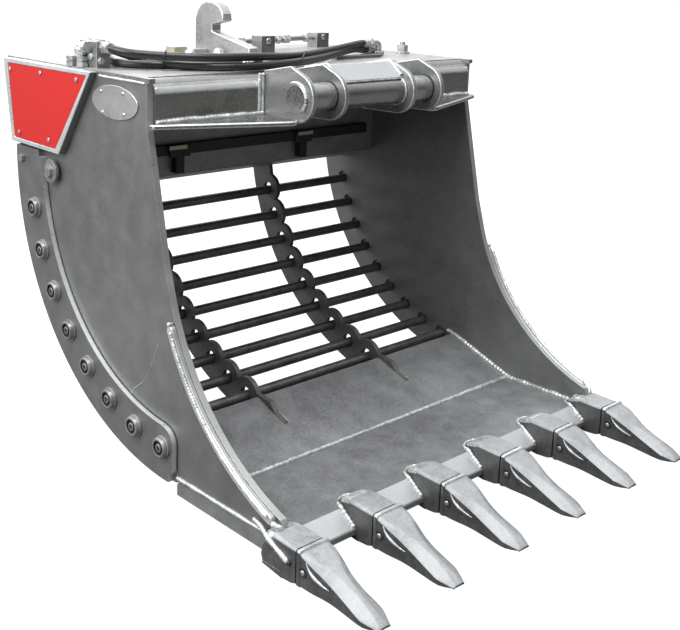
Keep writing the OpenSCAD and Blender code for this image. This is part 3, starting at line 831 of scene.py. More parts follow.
@dataclass
class Shell:
    """Side plates, floor, beam, deck and their welds."""

    work: Workshop
    welds: WeldShop
    half: float = 500.0
    # where the beam and the long seams end, just inside the side plates' inner faces
    inner: float = 485.0
    front_centre: Pair = (-556.0, 574.5)
    front_radius: float = 508.0
    # outline corners where the front arc meets the upper line, and the places that make the curve run through
    front_moves: tuple = (
        ((-48, 490), (-50, 492)), ((-56.6, 481.5), (-53.5, 478)), ((-61.2, 459.6), (-60, 459.6)),
    )
    edge_width: float = 19.0
    edge_thick: float = 12.0
    edge_turns: Pair = (-24.6, -71.8)
    # the beam: underside, top and depth
    beam: Row3 = (749.0, 838.0, 95.0)
    beam_round: float = 34.0
    beam_corner: float = 8.0
    # how far the beam's crest lies under the deck's top, and how far it goes on behind the rounding
    beam_crest: Pair = (1.0, 3.0)
    # the deck: underside and top, and its step back behind the beam's rounding
    deck: Pair = (838.2, 848.0)
    deck_step: float = 30.0
    # beads along the front edge: distance out from the plate and from the front circle, turns, radius
    edge_seams: tuple = ((3, 21, -25, -71, 4.5), (15, 2, -25, -71.5, 4.2))
    # the bead across the floor, and those at the edge band's ends on the right: corners and radius
    floor_seam: tuple = (((-485, -191, 48), (485, -191, 48)), 6.0)
    edge_end_seams: tuple = (
        (((513, -404, 82), (508, -414, 76), (497, -420, 71)), 8.0), (((502, -82, 370), (515, -86, 372)), 5.0),
    )
    # the other seams, on the right side: a name, and each bead's corners and radius
    side_seams: tuple = (
        ("welds_floor_sides", (
            (((483, -376, 48), (483, -193, 48), (483, -8, 113)), 6.5),
            (((483, -8, 112), (483, 14, 117)), 6.0),
        )),
        ("welds_beam", ((((207, -3, 761), (485, -3, 761)), 7.0),)),
        ("welds_beam_ends", ((((480, 4, 760), (480, 6, 830)), 5.0),)),
        ("welds_heel", ((((501, -100, 46), (501, -400, 46), (501, -438, 22)), 5.0),)),
        ("welds_deck", ((((501, 180, 838), (501, 14, 838)), 3.0),)),
    )

    def build(self) -> None:
        """Dresses the plates and lays the long seams."""
        w = self.work
        r, centre = self.front_radius, self.front_centre
        # narrow faces that look forward, and faces on the front edge's circle: painted light, a lighter tone
        # than the plate's
        front = [
            (lambda c, n: (np.abs(n[:, 0]) < 0.3) & (n[:, 1] < -0.35) & (c[:, 1] < 20), FORWARD_FACES_LIT),
            (lambda c, n: np.abs(np.hypot(*(c[:, 1:] - centre).T) - r) < 2.5, FORWARD_FACES_LIT),
        ]
        # painted light and shade on the edge band: its curved faces take the forward faces' tone, darker than
        # its sides
        band_edge = [(lambda c, n: np.abs(n[:, 0]) < 0.5, FORWARD_FACES_LIT)]
        # painted highlight on the cutting plate's slope that faces up and forward
        slope_lit = [(lambda c, n: (n[:, 1] < -0.3) & (n[:, 2] > 0.5), LIP_SLOPE_LIT)]
        for side, sign in (("left", -1), ("right", 1)):
            w.soften("side_plate_" + side, PLATE, EDGE_WEAR_AND_SHEEN, 2.6, patches=front, moves=self.front_moves)
            band = prism(self._edge_band(), *sorted((sign * self.half, sign * (self.half + self.edge_thick))))
            made = w.piece(
                "edge_bar_" + side, *band, STRIP_PAINT_AND_SHEEN, replaces=["edge_strip_" + side], patches=band_edge
            )
            w.rounded(made, 3.2, 3)
            w.soften("rib_" + side, RIB, PALE_PAINT_AND_SHEEN, 1.2)
        w.soften("cutting_plate", INNER, EDGE_WEAR_AND_SHEEN, 2.2, patches=slope_lit)
        w.soften("floor_plate", INNER, EDGE_WEAR_AND_SHEEN, 1.2)
        w.soften("drive_housing", INNER, PLATE, 2.0)
        deck = plate(self._deck_outline(), *self.deck)
        # painted shade: the deck's edge faces get a darker tone
        edges = [(lambda c, n: np.abs(n[:, 2]) < 0.5, COLLAR_STEEL_AND_SHADE)]
        w.piece("deck_sheet", *deck, DECK, replaces=["deck_plate"], patches=edges)
        # painted highlight: two lighter bands across the beam's rounding, picked by how far each face tips up
        rounded = [
            (lambda c, n: (n[:, 1] < -0.1) & (n[:, 2] > 0.08) & (n[:, 2] < 0.68), PALE_PAINT_AND_SHEEN),
            (lambda c, n: (n[:, 1] < -0.1) & (n[:, 2] > 0.20) & (n[:, 2] < 0.54), STRIP_PAINT_AND_SHEEN),
        ]
        beam = prism(self._beam_outline(), -self.inner, self.inner)
        w.piece("front_beam_tube", *beam, BEAM, replaces=["front_beam"], patches=rounded)
        w.soften("beam_flange", BEAM, EDGE_WEAR_AND_SHEEN, 3.0)
        self._welds()

    def _edge_band(self) -> Points:
        """A band along the front edge's circle, with a half circle at each end.

        Returns:
            Its outline, (Y, Z).
        """
        r, w, (first, last) = self.front_radius, self.edge_width, self.edge_turns
        centre = np.asarray(self.front_centre)
        middles = (arc(centre, r + w / 2, turn, turn, 1)[0] for turn in (last, first))
        return np.vstack([
            arc(centre, r, first, last, 60), arc(next(middles), w / 2, last + 180, last + 360, 12),
            arc(centre, r + w, last, first, 60), arc(next(middles), w / 2, first, first + 180, 12),
        ])

    def _deck_outline(self) -> Points:
        """The deck from above: over the side plates in front, stepped back behind the beam's rounding.

        Returns:
            Its outline, (X, Y).
        """
        a, b, step = self.inner, self.half, self.deck_step
        back = float(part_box("deck_plate")[1][1]) / MM - DRAWING_SHIFT[1]
        outline = [(-b, 0), (-a, 0), (-a, step), (a, step), (a, 0), (b, 0), (b, back), (-b, back)]
        return np.array(outline, float)

    def _beam_outline(self) -> Points:
        """A square tube's outline: straight faces joined by quarter circles at the front corners.

        Returns:
            Its outline, (Y, Z).
        """
        low, top, deep = self.beam
        r, corner, (under, behind) = self.beam_round, self.beam_corner, self.beam_crest
        crest, lap = self.deck[1] - under, r + behind
        return np.vstack([
            arc((r, crest - r), r, 90, 180, 18), arc((corner, low + corner), corner, 180, 270, 6),
            [(deep, low), (deep, top), (lap, top), (lap, crest)],
        ])

    def _welds(self) -> None:
        """The long seams of the shell."""
        beads = [
            (at_x(self.half + x, arc(self.front_centre, self.front_radius + out, start, stop, 20)), size)
            for x, out, start, stop, size in self.edge_seams
        ]
        self.welds.lay("welds_front_edge", [*beads, *self.edge_end_seams], mirrored=True)
        self.welds.lay("welds_floor", [self.floor_seam])
        for name, seams in self.side_seams:
            self.welds.lay(name, seams, mirrored=True)


@dataclass
class Screen:
    """Loose bars in the scalloped ribs, and their retaining strips."""

    work: Workshop
    count: int = 9
    centre: Pair = (-79.0, 633.0)
    # the strips' inner edge: its arc, then the round nose at the low end, its turns and its foot
    strip_inner: float = 483.0
    strip_turns: Pair = (-1.0, -88.0)
    nose: Pair = (-62.0, 113.0)
    nose_radius: float = 36.0
    nose_turns: Pair = (96.0, 180.0)
    nose_foot: float = 62.0
    # the painted shadow line in the gap, and the lap line: place across the bucket and radius
    gap_size: Pair = (500.4, 1.5)
    gap_out: float = 1.3
    lap_size: Pair = (499.8, 1.1)
    lap: tuple = ((-32, 312), (-23, 292), (-3, 250), (22, 216), (59, 186), (65, 169), (59, 158))
    bolt_ring: float = 528.0
    bolts: int = 8
    first_bolt: float = -13.2
    bolt_step: float = 10.77
    strip_face: float = 512.0
    # distance out from the strip's face, radius
    collar: tuple = (
        (-1.0, 24.0), (3.8, 24.0), (4.8, 23.0), (5.0, 21.6), (12.2, 21.0), (13.6, 19.8), (14.0, 18.2),
        (14.0, 16.6), (13.2, 15.4), (8.2, 15.0), (8.0, 9.2), (12.4, 9.0), (13.2, 8.2), (13.3, 6.0),
    )
    socket: tuple = ((12.0, 5.6), (13.55, 5.6), (13.6, 1.0))
    # the shadowed ring round a screw's head: its inner and outer radius and its rim's distance out
    sunk_ring: Row3 = (8.8, 15.3, 13.3)
    # the seal clips' small plates: Y, Z and X from the clip's middle
    clip: tuple = ((300.6, 303.5), (637, 646), (-28, 24))
    clip_places: Pair = (-206.0, 206.0)

    def build(self) -> None:
        """Dresses the bars and strips and turns the bolts."""
        w = self.work
        for number in range(1, self.count + 1):
            w.soften(f"bar_{number}", BAR, ZINC, 1.0, body=f"bar_{number}", slot="bar_steel")
        # painted highlight: the strips' inner edge faces below 640 mm get the bright strip tone
        inner = [(lambda c, n: (np.abs(n[:, 0]) < 0.3) & (n[:, 1] < 0.2) & (c[:, 2] < 640), STRIP_PAINT_AND_SHEEN)]
        for side in ("left", "right"):
            w.soften("retaining_strip_" + side, PLATE, EDGE_WEAR_AND_SHEEN, 1.8, patches=inner)
        self._strip_lines()
        self._bolts()
        w.soften("guide_bolts", COLLAR_STEEL_AND_SHADE, EDGE_WEAR_AND_SHEEN, 1.4, slot="plain_steel")
        w.soften("seal_strip", SEAL, None, 1.5, slot="hose_rubber")
        y, z, (left, right) = self.clip
        clips = [bar(y, z, (x + left, x + right)) for x in self.clip_places]
        w.group("seal_clips", clips, 20.0, BRASS)

    def _strip_lines(self) -> None:
        """A painted shadow line in the gap along each strip's inner edge, and the lap line that runs up the
        plate from it.
        """
        out, round_nose = self.gap_out, self.nose_radius + self.gap_out
        edge = np.vstack([
            arc(self.centre, self.strip_inner - out, *self.strip_turns, 90),
            arc(self.nose, round_nose, *self.nose_turns, 16), [(self.nose[0] - round_nose, self.nose_foot)],
        ])
        lap = curve_through(self.lap, 6)
        lines = (("strip_gap_", edge, self.gap_size, PAINTED_SHADOW), ("lap_line_", lap, self.lap_size, PALE_PAINT_AND_SHEEN))
        for sign, side in ((-1, "left"), (1, "right")):
            for name, path, (x, radius), finish in lines:
                line = tube(at_x(sign * x, path), radius, 8, AXES["x"][0])
                self.work.piece(name + side, *line, finish, "plain_steel", smooth=60.0)

    def _bolts(self) -> None:
        """Turned collars with a sunk cap screw, every bolt_step degrees round the strip."""
        turn = np.radians(self.first_bolt - self.bolt_step * np.arange(self.bolts))
        spots = np.asarray(self.centre) + self.bolt_ring * np.stack([np.cos(turn), np.sin(turn)], -1)
        near, far, rim = self.sunk_ring

        def sunk(c: Points, n: Points) -> Points:
            """True on faces in the ring between the collar and the screw's head."""
            gap = np.linalg.norm(c[:, None, 1:] - spots[None], axis=2).min(1)
            return (gap > near) & (gap < far) & (np.abs(c[:, 0]) < self.strip_face + rim)

        for side, way, x in (("left", "-x", -self.strip_face), ("right", "x", self.strip_face)):
            collars = [turned(self.collar, (x, *spot), way, 36) for spot in spots]
            node, shadow = "strip_bolts_" + side, [(sunk, PAINTED_SHADOW)]
            self.work.group(node + "_turned", collars, 38.0, COLLAR_STEEL_AND_SHADE, replaces=[node], patches=shadow)
            # the hex sockets are flat dark hexagons: painted shadow in the recess
            sockets = [turned(self.socket, (x, *spot), way, 6) for spot in spots]
            self.work.group("screw_sockets_" + side, sockets, 20.0, PAINTED_SHADOW)


@dataclass
class Coupler:
    """Ears, pins, tube, gusset and catch hook."""

    work: Workshop
    welds: WeldShop
    pins: Pair = (-104.0, 803.0)
    ears: Pair = (107.0, 200.0)
    ear: float = 12.0
    ear_round: float = 52.0
    ear_foot: Pair = (749.5, 852.0)
    ear_top: Pair = (-83.0, 868.0)
    # upright beads at the ears' feet: X, Y, both heights, radius
    ear_seams: tuple = (
        (210, -3, 760, 847, 4.4), (218, -1.5, 760, 847, 4.2), (190.5, -2.5, 752, 850, 3.4),
        (116.5, -2.5, 752, 850, 3.4), (97.5, -2.5, 752, 836, 3.4),
    )
    # beads round a pin's end and round the tube's: X, radius about the pin, turns, points, bead radius
    pin_seam: tuple = (208, 33, 60, 225, 24, 4.2)
    tube_seam: tuple = (98.5, 31.5, 20, 330, 40, 2.8)
    gusset_seams: tuple = (
        (((-98, -119.5, 831.5), (98, -119.5, 831.5)), 2.6),
        (((98, -10, 855), (98, -82, 868), (98, -119, 838)), 4.2),
        (((-98, -10, 855), (-98, -82, 868), (-98, -119, 838)), 3.6),
    )
    # the painted shadow line round each pin where it enters an ear: places across, radius about the pin,
    # thickness
    gap_places: tuple = (-193.4, -113.6, 113.6, 193.4)
    gap_ring: Pair = (31.0, 1.3)

    def _ear_outline(self) -> Points:
        """An ear: straight from the beam to the tangents of a circle round the pin.

        Returns:
            Its outline, (Y, Z).
        """
        centre, r = np.asarray(self.pins), self.ear_round
        away = np.asarray(self.ear_top) - centre
        slant = math.degrees(math.atan2(away[1], away[0]) + math.acos(r / np.linalg.norm(away)))
        foot = [(0, z) for z in self.ear_foot]
        return np.vstack([[*foot, self.ear_top], arc(self.pins, r, slant, 270, 40)])

    def build(self) -> None:
        """Dresses the coupler's pieces and lays their welds."""
        w = self.work
        outline = self._ear_outline()
        for side, sign in (("left", -1), ("right", 1)):
            pair = joined(prism(outline, sign * x - self.ear / 2, sign * x + self.ear / 2) for x in self.ears)
            w.rounded(w.piece("ears_" + side, *pair, EAR, replaces=["ear_pair_" + side]), 2.0, 2)
        w.soften("coupler_pins", PIN, EDGE_WEAR_AND_SHEEN, 1.5, slot="plain_steel")
        w.soften("centre_tube", TUBE, None, 1.0)
        w.soften("coupler_gusset", GUSSET, EDGE_WEAR_AND_SHEEN, 1.5)
        w.soften("catch_hook", PALE_PAINT_AND_SHEEN, EDGE_WEAR_AND_SHEEN, 2.5)
        ears = [([(x, y, low), (x, y, high)], size) for x, y, low, high, size in self.ear_seams]
        self.welds.lay("welds_ears", ears, mirrored=True)
        self.welds.lay("welds_pin_ends", [self._round_bead(*self.pin_seam)], mirrored=True)
        self.welds.lay("welds_gusset", self.gusset_seams)
        self.welds.lay("welds_tube", [self._round_bead(*self.tube_seam)], mirrored=True)
        r, thick = self.gap_ring
        circle = arc(self.pins, r, 0, 352, 45)
        rings = [tube(at_x(x, circle), thick, 6, AXES["x"][0]) for x in self.gap_places]
        w.group("pin_gaps", rings, 60.0, PAINTED_SHADOW, "silver_paint")

    def _round_bead(self, x: float, r: float, start: float, stop: float, count: int, size: float) -> Any:
        """A bead round the pins' axis, as a pair of its path and radius."""
        return at_x(x, arc(self.pins, r, start, stop, count)), size


@dataclass
class Covers:
    """Trapezoid covers with their red plates, the oval plate and the rivets."""

    work: Workshop
    badge_rivets: tuple = ((170, 807), (88, 810), (164, 764), (85, 768))
    badge_face: float = -502.6
    dome: tuple = ((-1, 4.2), (0.6, 4.2), (1.8, 3.2), (2.4, 1.2))

    def build(self) -> None:
        """Dresses the covers."""
        w = self.work
        # the covers' outer faces are in the bright strip tone, and their upward faces get it too as painted
        # light; the other narrow faces keep the plate's tone
        rim = [(lambda c, n: (np.abs(n[:, 0]) > 0.8) | (n[:, 2] > 0.5), STRIP_PAINT_AND_SHEEN)]
        for side in ("left", "right"):
            w.soften("side_cover_" + side, PLATE, EDGE_WEAR_AND_SHEEN, 1.5, patches=rim)
            w.soften("panel_" + side, RED, None, 0.6, slot="red_plate")
        w.soften("panel_rivets", ZINC, None, 1.2, 3, slot="plain_steel")
        w.soften("badge_plate", BADGE, EDGE_WEAR_AND_SHEEN, 0.8)
        domes = [turned(self.dome, (self.badge_face, *spot), "-x", 16) for spot in self.badge_rivets]
        w.group("badge_rivets", domes, 60.0)


@dataclass
class Teeth:
    """Six cast teeth on their adapters."""

    work: Workshop
    welds: WeldShop
    pitch: float = 195.5
    count: int = 6
    pin: Pair = (-503.0, 33.0)
    # y, half width and height of the ridge, half width and height of the wings, underside, the side's inset
    stations: tuple = (
        (-487, 34.0, 69.5, 36.2, 66.8, 1, 0),
        (-488.5, 34.6, 71.0, 36.9, 68.6, 0.6, 0),
        (-495, 34.6, 70.6, 36.9, 68.2, 0.5, 0),
        (-497, 32.6, 66.8, 35.4, 63.6, 1.5, 0),
        (-515, 31.5, 62.8, 35.2, 58.0, 1, 0.3),
        (-530, 27.0, 58.2, 33.6, 51.5, 0, 1.0),
        (-546, 18.5, 52.4, 30.4, 43.6, -2, 2.2),
        (-564, 12.0, 45.0, 27.4, 34.2, -5, 3.0),
        (-590, 8.0, 34.2, 26.4, 22.8, -8, 3.2),
        (-620, 7.5, 22.6, 27.6, 12.0, -9.6, 3.0),
        (-636, 8.4, 15.2, 27.8, 6.2, -9.4, 2.6),
        (-641, 8.8, 13.0, 26.6, 4.8, -9.2, 2.4),
        (-652, 10.0, 7.4, 22.2, 1.4, -8.4, 1.4),
        (-664, 11.0, 0.6, 16.8, -2.4, -6.8, 0.8),
        (-668, 10.5, -2.4, 14.6, -3.6, -5.6, 0.2),
    )
    # y, half width, top, underside, corner radius
    adapter: tuple = (
        (-487, 30.8, 63.8, 4.6, 5), (-482.6, 30.8, 64.2, 4.4, 5), (-482, 34, 68.4, 1.0, 6),
        (-470, 34, 68.8, -3.2, 7), (-450, 34, 70, -4.6, 8), (-444, 34, 70.4, -5, 8), (-442, 34, 70.5, 15, 8),
        (-425, 33.5, 71.2, 27, 9), (-412, 32.0, 70.6, 36, 10), (-400, 28.8, 67.0, 43, 11),
        (-389, 24, 60.5, 43, 9), (-380, 16, 53.0, 43, 5), (-374.5, 7, 47.2, 43, 2),
    )
    # stations of each from which the curve is splined
    tooth_curve_start: int = 3
    adapter_curve_start: int = 6
    # the foot under the adapter, and the cheek beside each end adapter, (Y, Z), with their widths
    foot: tuple = ((-446, -4.9), (-392, 1.0), (-392, 5.8), (-440.8, 5.8), (-440.8, 15.0), (-446, 15.0))
    foot_half: float = 33.5
    cheek: tuple = ((-450, -4.4), (-441, -4.4), (-394, 0.8), (-388, 18), (-392, 36), (-402, 50), (-450, 54))
    cheek_ends: Pair = (500.3, 521.5)
    # the pin's well, a dark disc of painted shadow, and its round end, (distance out, radius), and how far
    # out of the middle they start
    well: tuple = ((-1, 9.6), (0.9, 9.6), (0.9, 8.0), (0.3, 7.4))
    pin_end: tuple = ((-1, 5.2), (0.8, 5.1), (1.7, 4.4), (2.4, 2.8), (2.6, 1.0))
    pin_face: float = 35.4
    # the raised edge on a tooth's flank: its route, and its radius at the start, middle and end
    flank_edge: tuple = (
        (35.6, -511, 57), (35.9, -519, 46), (34.6, -532, 36), (31.0, -549, 28), (28.0, -562, 24),
    )
    flank_edge_size: Row3 = (0.8, 3.4, 0.6)
    # beads: up an adapter's flank, round its nose, and beside the lip's corner, with their radii
    flank_bead: tuple = (((36, -439, 21), (36, -402, 48), (33.5, -391, 49)), 5.2)
    nose_bead: tuple = (((33.5, -391, 49), (25, -379, 48.5), (10, -371, 47.5), (0, -369.5, 47.5)), 3.4)
    corner_bead: tuple = (
        (
            (510, -352, 68), (513, -378, 64), (520, -400, 58), (523.5, -420, 52), (524, -444, 44),
            (524, -464, 35),
        ),
        6.0,
    )
    bead_end: tuple = ((-3, 4.2), (6.6, 4.2), (6.6, 0.6))
    bead_end_place: Row3 = (523.0, -463.0, 35.0)

    def build(self) -> None:
        """Builds the teeth, their adapters, the pins' ends and the welds."""
        places = (np.arange(self.count) - (self.count - 1) / 2) * self.pitch
        for number, x0 in enumerate(places, 1):
            self._tooth(number, x0)
            self._adapter(number, x0)
        near, far = self.cheek_ends
        cheeks = [prism(self.cheek, *ends) for ends in ((-far, -near), (near, far))]
        # the cheeks are wholly in the dark cast tone of painted shade
        self.work.group("corner_cheeks", cheeks, 20.0, CAST_SHADE, "cast_teeth")
        self._pins(places)
        self._welds(places)
        self.work.dress("tooth_pins", PIN)

    def _tooth(self, number: int, x0: float) -> None:
        """One tooth: a ridge and two wings on splined stations, over steep sides painted dark as shade.

        Args:
            number: its number from the left.
            x0: its middle.
        """
        st, start = np.array(self.stations, float), self.tooth_curve_start
        st = np.vstack([st[:start], curve_through(st[start:], 7)])
        y, ridge, top, wide, wing, low, inset = st.T
        side = wide - inset
        # half the section, from the middle of the ridge round to the middle of the underside
        rows = (
            (0 * ridge, top + 0.9), (ridge * 0.6, top + 0.7), (ridge - 1.2, top + 0.2), (ridge, top - 0.6),
            ((ridge + wide) / 2, (top + wing) / 2 - 0.2), (wide - 1.0, wing + 0.5), (wide, wing - 1.0),
            (side, wing - 3.0), (side - 0.2, (wing + low) / 2), (side, low + 3.0), (side - 3.0, low),
            (0 * ridge, low),
        )
        half = np.stack([np.stack(pair, -1) for pair in rows], 1)
        # painted shade: faces that turn sideways or down get the dark cast tone
        dark = [(lambda c, n: (n[:, 2] < 0.35) & (np.abs(n[:, 0]) > 0.3) | (n[:, 2] < -0.3), CAST_SHADE)]
        # painted highlight on the upward faces of the tooth's rear rim
        rim = [(lambda c, n: (c[:, 1] > -497.2) & (n[:, 2] > 0.1), CAST_EDGE_WEAR_AND_SHEEN)]
        self.work.piece(
            f"tooth_{number}_cast", *mirrored_loft(y, half, x0), CAST, "cast_teeth", [f"tooth_{number}"],
            smooth=32.0, patches=dark + rim,
        )

    def _adapter(self, number: int, x0: float) -> None:
        """One adapter: a body with quarter circles at its shoulders, tapering to its weld, and a foot.

        Args:
            number: its number from the left.
            x0: its middle.
        """
        st, start = np.array(self.adapter, float), self.adapter_curve_start
        y, wide, top, low, r = np.vstack([st[:start], curve_through(st[start:], 6)]).T
        turn = np.linspace(0, math.pi / 2, 7)
        shoulder = (wide - r)[:, None] + r[:, None] * np.sin(turn)
        x = np.column_stack([0 * wide, shoulder, wide, wide - 2, 0 * wide])
        z = np.column_stack([top, (top - r)[:, None] + r[:, None] * np.cos(turn), low + 2, low, low])
        body = mirrored_loft(y, np.stack([x, z], -1), x0)
        foot = prism(self.foot, x0 - self.foot_half, x0 + self.foot_half)
        # painted shade on the adapter's sides and underside, the weld's tone on its rear top, and painted
        # shadow on its front end under the tooth
        dark = [
            (lambda c, n: (n[:, 2] < 0.35), CAST_SHADE),
            (lambda c, n: (c[:, 1] > -418) & (n[:, 2] > 0.1), WELD),
            (lambda c, n: c[:, 1] < -482.1, PAINTED_SHADOW),
        ]
        node = f"tooth_adapter_{number}"
        self.work.group(
            node + "_cast", [body, foot], 34.0, CAST, "cast_teeth", replaces=[node], patches=dark
        )

    def _pins(self, places: Points) -> None:
        """The pins' round ends in wells of painted shadow, and the raised edge behind each.

        Args:
            places: the middle of each tooth.
        """
        wells, ends, edges = [], [], []
        curve = curve_through(self.flank_edge, 5)
        size = np.interp(np.linspace(0, 2, len(curve)), np.arange(3), self.flank_edge_size)
        for x0 in places:
            for way, sign in (("x", 1), ("-x", -1)):
                at = (x0 + sign * self.pin_face, *self.pin)
                wells.append(turned(self.well, at, way, 24))
                ends.append(turned(self.pin_end, at, way, 20))
                edges.append(tube(curve * (sign, 1, 1) + (x0, 0, 0), size, 8))
        self.work.group("tooth_pin_wells", wells, 30.0, PAINTED_SHADOW, "cast_teeth")
        self.work.group("tooth_pin_ends", ends, 60.0)
        # the raised flank edges are in the light edge tone, partly wear and partly painted highlight
        self.work.group("tooth_side_edges", edges, 60.0, CAST_EDGE_WEAR_AND_SHEEN, "cast_teeth")

    def _welds(self, places: Points) -> None:
        """A bead round each adapter on the plate, on the inner side only at the two corners.

        Args:
            places: the middle of each tooth.
        """
        seams = []
        for x0 in places:
            for sign in (-1, 1):
                if abs(x0 + sign * self.foot_half) < np.max(places):
                    for path, size in (self.flank_bead, self.nose_bead):
                        seams.append((np.array(path, float) * (sign, 1, 1) + (x0, 0, 0), size))
        self.welds.lay("welds_adapters", seams)
        self.welds.lay("welds_corners", [self.corner_bead], mirrored=True)
        # dark stubs of painted shadow at the corner beads' ends
        x, y, z = self.bead_end_place
        stubs = [turned(self.bead_end, (sign * x, y, z), "-y", 16) for sign in (-1, 1)]
        self.work.group("corner_bead_ends", stubs, 30.0, PAINTED_SHADOW, "cast_teeth")


@dataclass
class Hydraulics:
    """Hoses, fittings and screws on the deck, and the drive inside the box."""

    work: Workshop
    diameter: float = 18.0
    # turned parts: distance along the axis, radius
    ferrule: tuple = (
        (-1, 11.6), (9, 11.6), (9.6, 10.8), (12, 10.8), (12.6, 11.8), (17, 11.8), (17.6, 10.9), (20, 10.9),
        (20.6, 11.8), (26, 11.8), (27, 10.4), (27.5, 9.2),
    )
    nut: tuple = ((-0.5, 12.0), (0.6, 13.6), (9.4, 13.6), (10.4, 12.2), (10.5, 9.0))
    # how far the nut at a long hose's end starts before the end
    nut_back: float = 3.0
    pipe_nut: tuple = ((0, 11.5), (1, 12.8), (10, 12.8), (11, 11.5), (11.2, 8.0))
    screw: tuple = ((-1, 8.0), (2.6, 8.0), (4.0, 6.6), (4.2, 3.0))
    port_ring: tuple = ((-1, 9.6), (-1, 13.5), (2.2, 13.5), (3.2, 12.4), (3.2, 9.6))
    hex_head: tuple = ((-1, 8.0), (5.2, 8.0), (6.2, 7.0), (6.3, 3.0))
    cap_dome: tuple = (
        (-0.5, 16.0), (2.0, 15.6), (4.0, 13.0), (9.0, 12.6), (12.5, 9.8), (14.4, 5.6), (15.0, 1.5),
    )
    # where they stand: each one's start, and the way it points
    deck_caps: tuple = (((-133, 359, 851.5), "z"), ((-34, 373, 851.5), "z"))
    block_screws: tuple = ((113, 355, 880), (403, 455, 877))
    ports: tuple = ((-463, 239, 904), (-463, 271, 904))
    heads: tuple = (
        ((-480, 240, 872), "-x"), ((-480, 272, 872), "-x"), ((-447, 273, 888), "-x"),
        ((-470, 222, 864), "-y"), ((-404, 342, 880), "z"),
    )
    adapter_nuts: tuple = (
        ((-489, 264, 849), "z"), ((-489, 264, 861), "z"), ((-489, 264, 875), "z"), ((-495, 296, 849), "z"),
        ((-495, 296, 861), "z"), ((-470, 300, 849), "z"), ((-489, 252, 892), "-y"),
    )
    adapter_cap: Row3 = (-489.0, 264.0, 886.0)
    # the short hose's block and a screw's slot: Y, Z and X, the slot's from its screw's start
    hose_block: tuple = ((63, 85), (848, 866), (-179, -155))
    slot: tuple = ((-4.6, -3.6), (-1, 1), (-6, 6))
    # blocks of the solid that other pieces stand for: X and Y
    gone: tuple = (((260, 310), (172, 216)), ((-182, -152), (16, 44)))
    # the pipe behind the hook, its radius, and its nuts' places along X on a line (rise in Y, height)
    pipe: tuple = (
        (28, 404, 852), (38, 406, 868), (56, 409, 875), (150, 428, 875), (250, 448, 875), (390, 476, 875),
    )
    pipe_radius: float = 7.0
    pipe_nuts: tuple = (50, 66, 140, 156, 214, 240, 256, 340)
    pipe_line: Row3 = (398.0, 0.2, 875.0)
    # an elbow from its hose's end down into the deck: steps in X and Z, the deck's height, the radius
    elbow: tuple = ((12, 0), (22, 0), (30, -3), (34, -10))
    elbow_foot: float = 849.0
    elbow_radius: float = 8.5
    tie_reach: float = 10.4
    tie_radius: float = 1.7
    # each tie: the two hoses' centres, and the way they run
    ties: tuple = (
        ((-379, 117, 879), (-362, 140, 862), (0.70, -0.71, -0.10)),
        ((-8, 91, 870.4), (-50, 57, 859), (0.93, 0.37, 0.0)),
    )
    upper: tuple = (
        (-463, 221.6, 892), (-463, 202, 892), (-439, 156, 884), (-380, 118, 879), (-310, 70, 877.5),
        (-200, 40, 877), (-40, 80, 870), (90, 124, 872), (192, 154, 878), (270, 180, 882), (310, 186, 882),
    )
    lower: tuple = (
        (-433, 261.6, 886), (-433, 246, 886), (-394, 188, 868), (-348, 118, 859), (-300, 72, 857.5),
        (-240, 40, 857.5), (-170, 32, 858), (-60, 54, 859), (60, 102, 860), (160, 142, 866), (240, 174, 869),
        (300, 196, 864), (330, 202, 862),
    )
    short: tuple = (
        (-404, 329.6, 868), (-404, 312, 868), (-424, 250, 859), (-426, 205, 857.5), (-392, 160, 857.5),
        (-342, 128, 857.5), (-290, 102, 857.5), (-240, 84, 857.5), (-200, 76, 857.5), (-179.4, 74, 857.5),
    )

    def build(self) -> None:
        """Sweeps the hoses and dresses what is on the deck."""
        w = self.work
        for name, route in zip(("hose_upper", "hose_lower", "hose_short"), self._routes()):
            line = curve_through(route, 10)
            verts, faces = tube(line, self.diameter / 2, 20)
            made = w.piece(name + "_swept", verts, faces, RUBBER, "hose_rubber", [name], smooth=50.0)
        self._deck_blocks()
        self._ends()
        self._straps()
        w.soften("deck_bolts", ZINC, EDGE_WEAR_AND_SHEEN, 1.0, slot="plain_steel")
        w.group("dome_caps", [turned(self.cap_dome, *spot, 20) for spot in self.deck_caps], 60.0)
        w.dress("hydraulic_motor", DARK)
        w.dress("drive_bearing", DARK)
        w.dress("eccentric_shaft", ZINC)

    def _routes(self) -> tuple:
        """The three hoses' routes."""
        return self.upper, self.lower, self.short

    def _deck_blocks(self) -> None:
        """The deck's blocks, with painted shade on their fronts, and their slotted screws, port rings and
        side screws.
        """
        w = self.work
        # the yellow block; painted shade on the block fronts on the right; the long hoses' end block in the
        # same dark tone; and painted shade on the ports' block's sides
        patches = [
            (lambda c, n: (c[:, 0] > -111) & (c[:, 0] < -69) & (c[:, 1] > 450), BRASS),
            (lambda c, n: (n[:, 1] < -0.5) & (c[:, 0] > 80), BLOCK),
            (lambda c, n: (c[:, 0] > 150) & (c[:, 0] < 320) & (c[:, 1] < 172), BLOCK),
            (lambda c, n: (c[:, 0] < -400) & (n[:, 2] < 0.5), COLLAR_STEEL_AND_SHADE),
        ]
        w.soften("deck_fittings", PALE_PAINT_AND_SHEEN, EDGE_WEAR_AND_SHEEN, 2.0, patches=patches, drop=self._stood_for)
        w.piece("short_hose_block", *bar(*self.hose_block), BLOCK, smooth=20.0)
        w.group("block_screws", [turned(self.screw, spot, "-y", 24) for spot in self.block_screws], 40.0)
